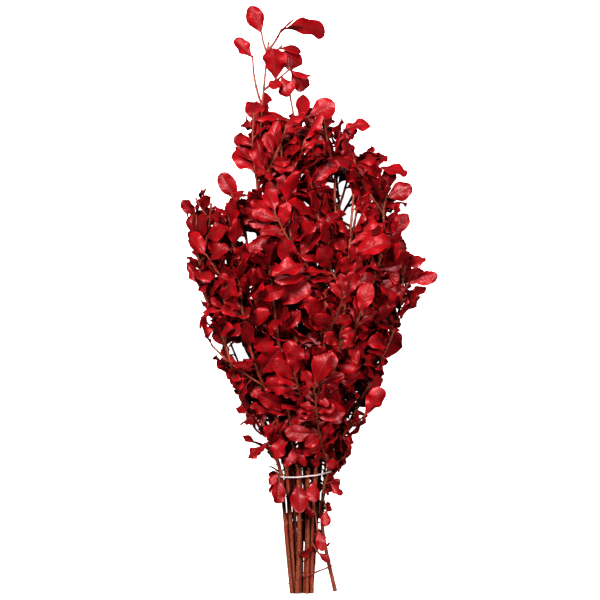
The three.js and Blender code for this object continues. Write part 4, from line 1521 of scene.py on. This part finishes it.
DEEP_CRIMSON = (0.16, 0.001, 0.003, 1)
CRIMSON = (0.26, 0.0018, 0.006, 1)
SCARLET = (0.36, 0.004, 0.008, 1)
# Bright red of the blade's edge: a painted glow of light through the thin margin.
PAINTED_MARGIN_GLOW = (0.45, 0.006, 0.01, 1)
# Duller, darker red round the rib; its pinkish cast is a painted sheen.
HEART_DUSK_AND_SHEEN = (0.17, 0.007, 0.01, 1)
VEIN_RED = (0.5, 0.02, 0.022, 1)
RIB_BROWN = (0.12, 0.018, 0.014, 1)
STALK_BROWN = (0.19, 0.03, 0.02, 1)
DULL_RED = (0.2, 0.004, 0.008, 1)
SATIN = {"Specular IOR Level": 0.38, "Specular Tint": (1, 0.7, 0.72, 1)}
CLOUD_SCALE = 60.0
SWELL_SCALE = 75.0
VEIN_SCALE = 130.0
MOTTLE_SCALE = 420.0
VEINS = 8.0
VEIN_SLANT = -1.7
LEAF_RELIEF = 0.0004


def attribute(tree, name):
    return wire(tree, "ShaderNodeAttribute", attribute_name=name).outputs["Fac"]


def layered(tree, dye, *layers):
    """A colour under layers of others, each with its share."""
    for share, colour in layers:
        dye = blend_colours(tree, share, dye, colour)
    return dye


def leaf_material():
    """Dyed blades: cloudy crimson, a darker heart whose pinkish cast is a painted sheen, a bright margin
    that is a painted glow of light through the thin edge, a brown rib, veins and a satin sheen.
    """
    made, tree, shader = new_material("dyed leaf", SATIN)
    place = object_place(tree)
    clouds = noise_of(tree, place, CLOUD_SCALE)
    swells = noise_of(tree, place, SWELL_SCALE, 1.0)
    mottle = noise_of(tree, place, MOTTLE_SCALE, 4.0, 0.6)
    uv = wire(tree, "ShaderNodeUVMap", uv_map="blade").outputs[0]
    share, across = wire(tree, "ShaderNodeSeparateXYZ", {0: uv}).outputs[:2]
    out = math_of(tree, "ABSOLUTE", scaled_sum(tree, (across, 2.0), (1.0, -1.0)))
    bent = noise_of(tree, place, VEIN_SCALE)
    slant = scaled_sum(tree, (share, VEINS), (out, VEIN_SLANT), (bent, 0.5))
    from_vein = math_of(tree, "PINGPONG", slant, 0.5)
    inner = ramp_between(tree, out, 0.95, 0.55)
    vein = math_of(tree, "MULTIPLY", ramp_between(tree, from_vein, 0.1, 0.0), inner)
    cloudy = ramp_between(tree, clouds, 0.35, 0.65, 0, 0.6)
    from_rib = math_of(tree, "ABSOLUTE", attribute(tree, "from_rib"))
    mood = scaled_sum(tree, (attribute(tree, "tone"), 0.45), (clouds, 0.55))
    dye = layered(
        tree,
        blend_colours(tree, ramp_between(tree, mood, 0.25, 0.75), DEEP_CRIMSON, CRIMSON),
        (ramp_between(tree, mottle, 0.45, 0.8, 0, 0.22), SCARLET),
        # Towards the rib, in cloudy patches: a darker red whose pinkish cast is a painted sheen.
        (math_of(tree, "MULTIPLY", ramp_between(tree, out, 0.85, 0.15), cloudy), HEART_DUSK_AND_SHEEN),
        (math_of(tree, "MULTIPLY", vein, 0.16), VEIN_RED),
        # Brighter towards the margin: painted glow of light through the thin edge.
        (ramp_between(tree, out, 0.88, 1.0, 0, 0.6), PAINTED_MARGIN_GLOW),
        (ramp_between(tree, from_rib, 0.0007, 0.00025, 0, 0.8), RIB_BROWN),
        (ramp_between(tree, share, 0.2, 0.08, 0, 0.8), STALK_BROWN),
        (math_of(tree, "MULTIPLY", attribute(tree, "underside"), 0.3), DULL_RED),
    )
    tree.links.new(dye, shader.inputs["Base Color"])
    tree.links.new(ramp_between(tree, mottle, 0.2, 0.8, 0.36, 0.48), shader.inputs["Roughness"])
    puffed = math_of(tree, "MULTIPLY", ramp_between(tree, from_vein, 0.0, 0.4), inner)
    height = scaled_sum(tree, (puffed, 0.35), (mottle, 0.2), (swells, 6.0))
    add_bump(tree, shader, height, LEAF_RELIEF, 0.7)
    return made


solid_keys = {leaf.key for parts in own for found in parts for leaf in found.values()}
dyed_leaf = leaf_material()
for node, leaves in zip(node_names, foliage):
    piece = leaf_piece("leaves_" + node[-2:], leaves)
    piece.data.materials.append(dyed_leaf)
    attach(piece, "root")
    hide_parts(node)

# Studio
# A pale floor, a strong and a weak soft lamp over the bunch's left and right, and a camera that looks
# straight down on it from far off, as the photograph faces the bunch.
FLOOR_SIZE = 6.0
CAMERA_HEIGHT = 5.5
VIEW_WIDTH = 0.66
VIEW_LEVEL = 0.07
FLOOR_GLOW = 1.0
FLOOR_BOUNCE = (0.03, 0.03, 0.03, 1)
PAPER_GREY = (0.88, 0.88, 0.88, 1)
PAPER_WHITE = (0.92, 0.92, 0.92, 1)
WHITE = (1, 1, 1, 1)
WORLD_LIGHT = 0.03
VIEW_MIDDLE = (-2.2, 326.0, 0)

floor_mesh = bpy.data.meshes.new("studio_floor")
edge = FLOOR_SIZE / 2
floor_mesh.from_pydata(
    [(-edge, -edge, 0), (edge, -edge, 0), (edge, edge, 0), (-edge, edge, 0)],
    [],
    [(0, 1, 2, 3)],
)
floor = new_object("studio_floor", floor_mesh)


def paper_material():
    """Pale paper that glows white to the camera, and lights the bunch little from below."""
    made, tree, shader = new_material("pale paper", {"Roughness": 0.9, "Specular IOR Level": 0.1})
    fibres = noise_of(tree, object_place(tree), 300.0)
    shade = blend_colours(tree, fibres, PAPER_GREY, PAPER_WHITE)
    seen = wire(tree, "ShaderNodeLightPath").outputs["Is Camera Ray"]
    tree.links.new(math_of(tree, "MULTIPLY", seen, FLOOR_GLOW), shader.inputs["Emission Strength"])
    shader.inputs["Emission Color"].default_value = WHITE
    tree.links.new(blend_colours(tree, seen, FLOOR_BOUNCE, shade), shader.inputs["Base Color"])
    return made


floor_mesh.materials.append(paper_material())


def add_lamp(name, place, size, power):
    """A square soft lamp that faces the bunch."""
    data = bpy.data.lights.new(name, "AREA")
    data.shape = "SQUARE"
    data.size = size
    data.energy = power
    lamp = new_object(name, data)
    lamp.location = place
    lamp.rotation_mode = "QUATERNION"
    lamp.rotation_quaternion = lamp.location.to_track_quat("Z", "Y")


add_lamp("key_lamp", (-1.1, 1.3, 2.5), 0.8, 180)
add_lamp("fill_lamp", (1.2, 0.3, 2.4), 0.5, 80)
world = bpy.data.worlds.new("studio")
world.use_nodes = True
background = world.node_tree.nodes["Background"]
background.inputs["Color"].default_value = WHITE
background.inputs["Strength"].default_value = WORLD_LIGHT
bpy.context.scene.world = world
view = bpy.context.scene.view_settings
view.view_transform = "Standard"
view.exposure = 0.05
view.gamma = 0.83

lens = bpy.data.cameras.new("camera")
lens.sensor_width = 36
lens.lens = lens.sensor_width * (CAMERA_HEIGHT - VIEW_LEVEL) / VIEW_WIDTH
lens.clip_end = 50
camera = new_object("camera", lens)
middle = to_frame(VIEW_MIDDLE)
camera.location = (middle[0], middle[1], CAMERA_HEIGHT)
bpy.context.scene.camera = camera
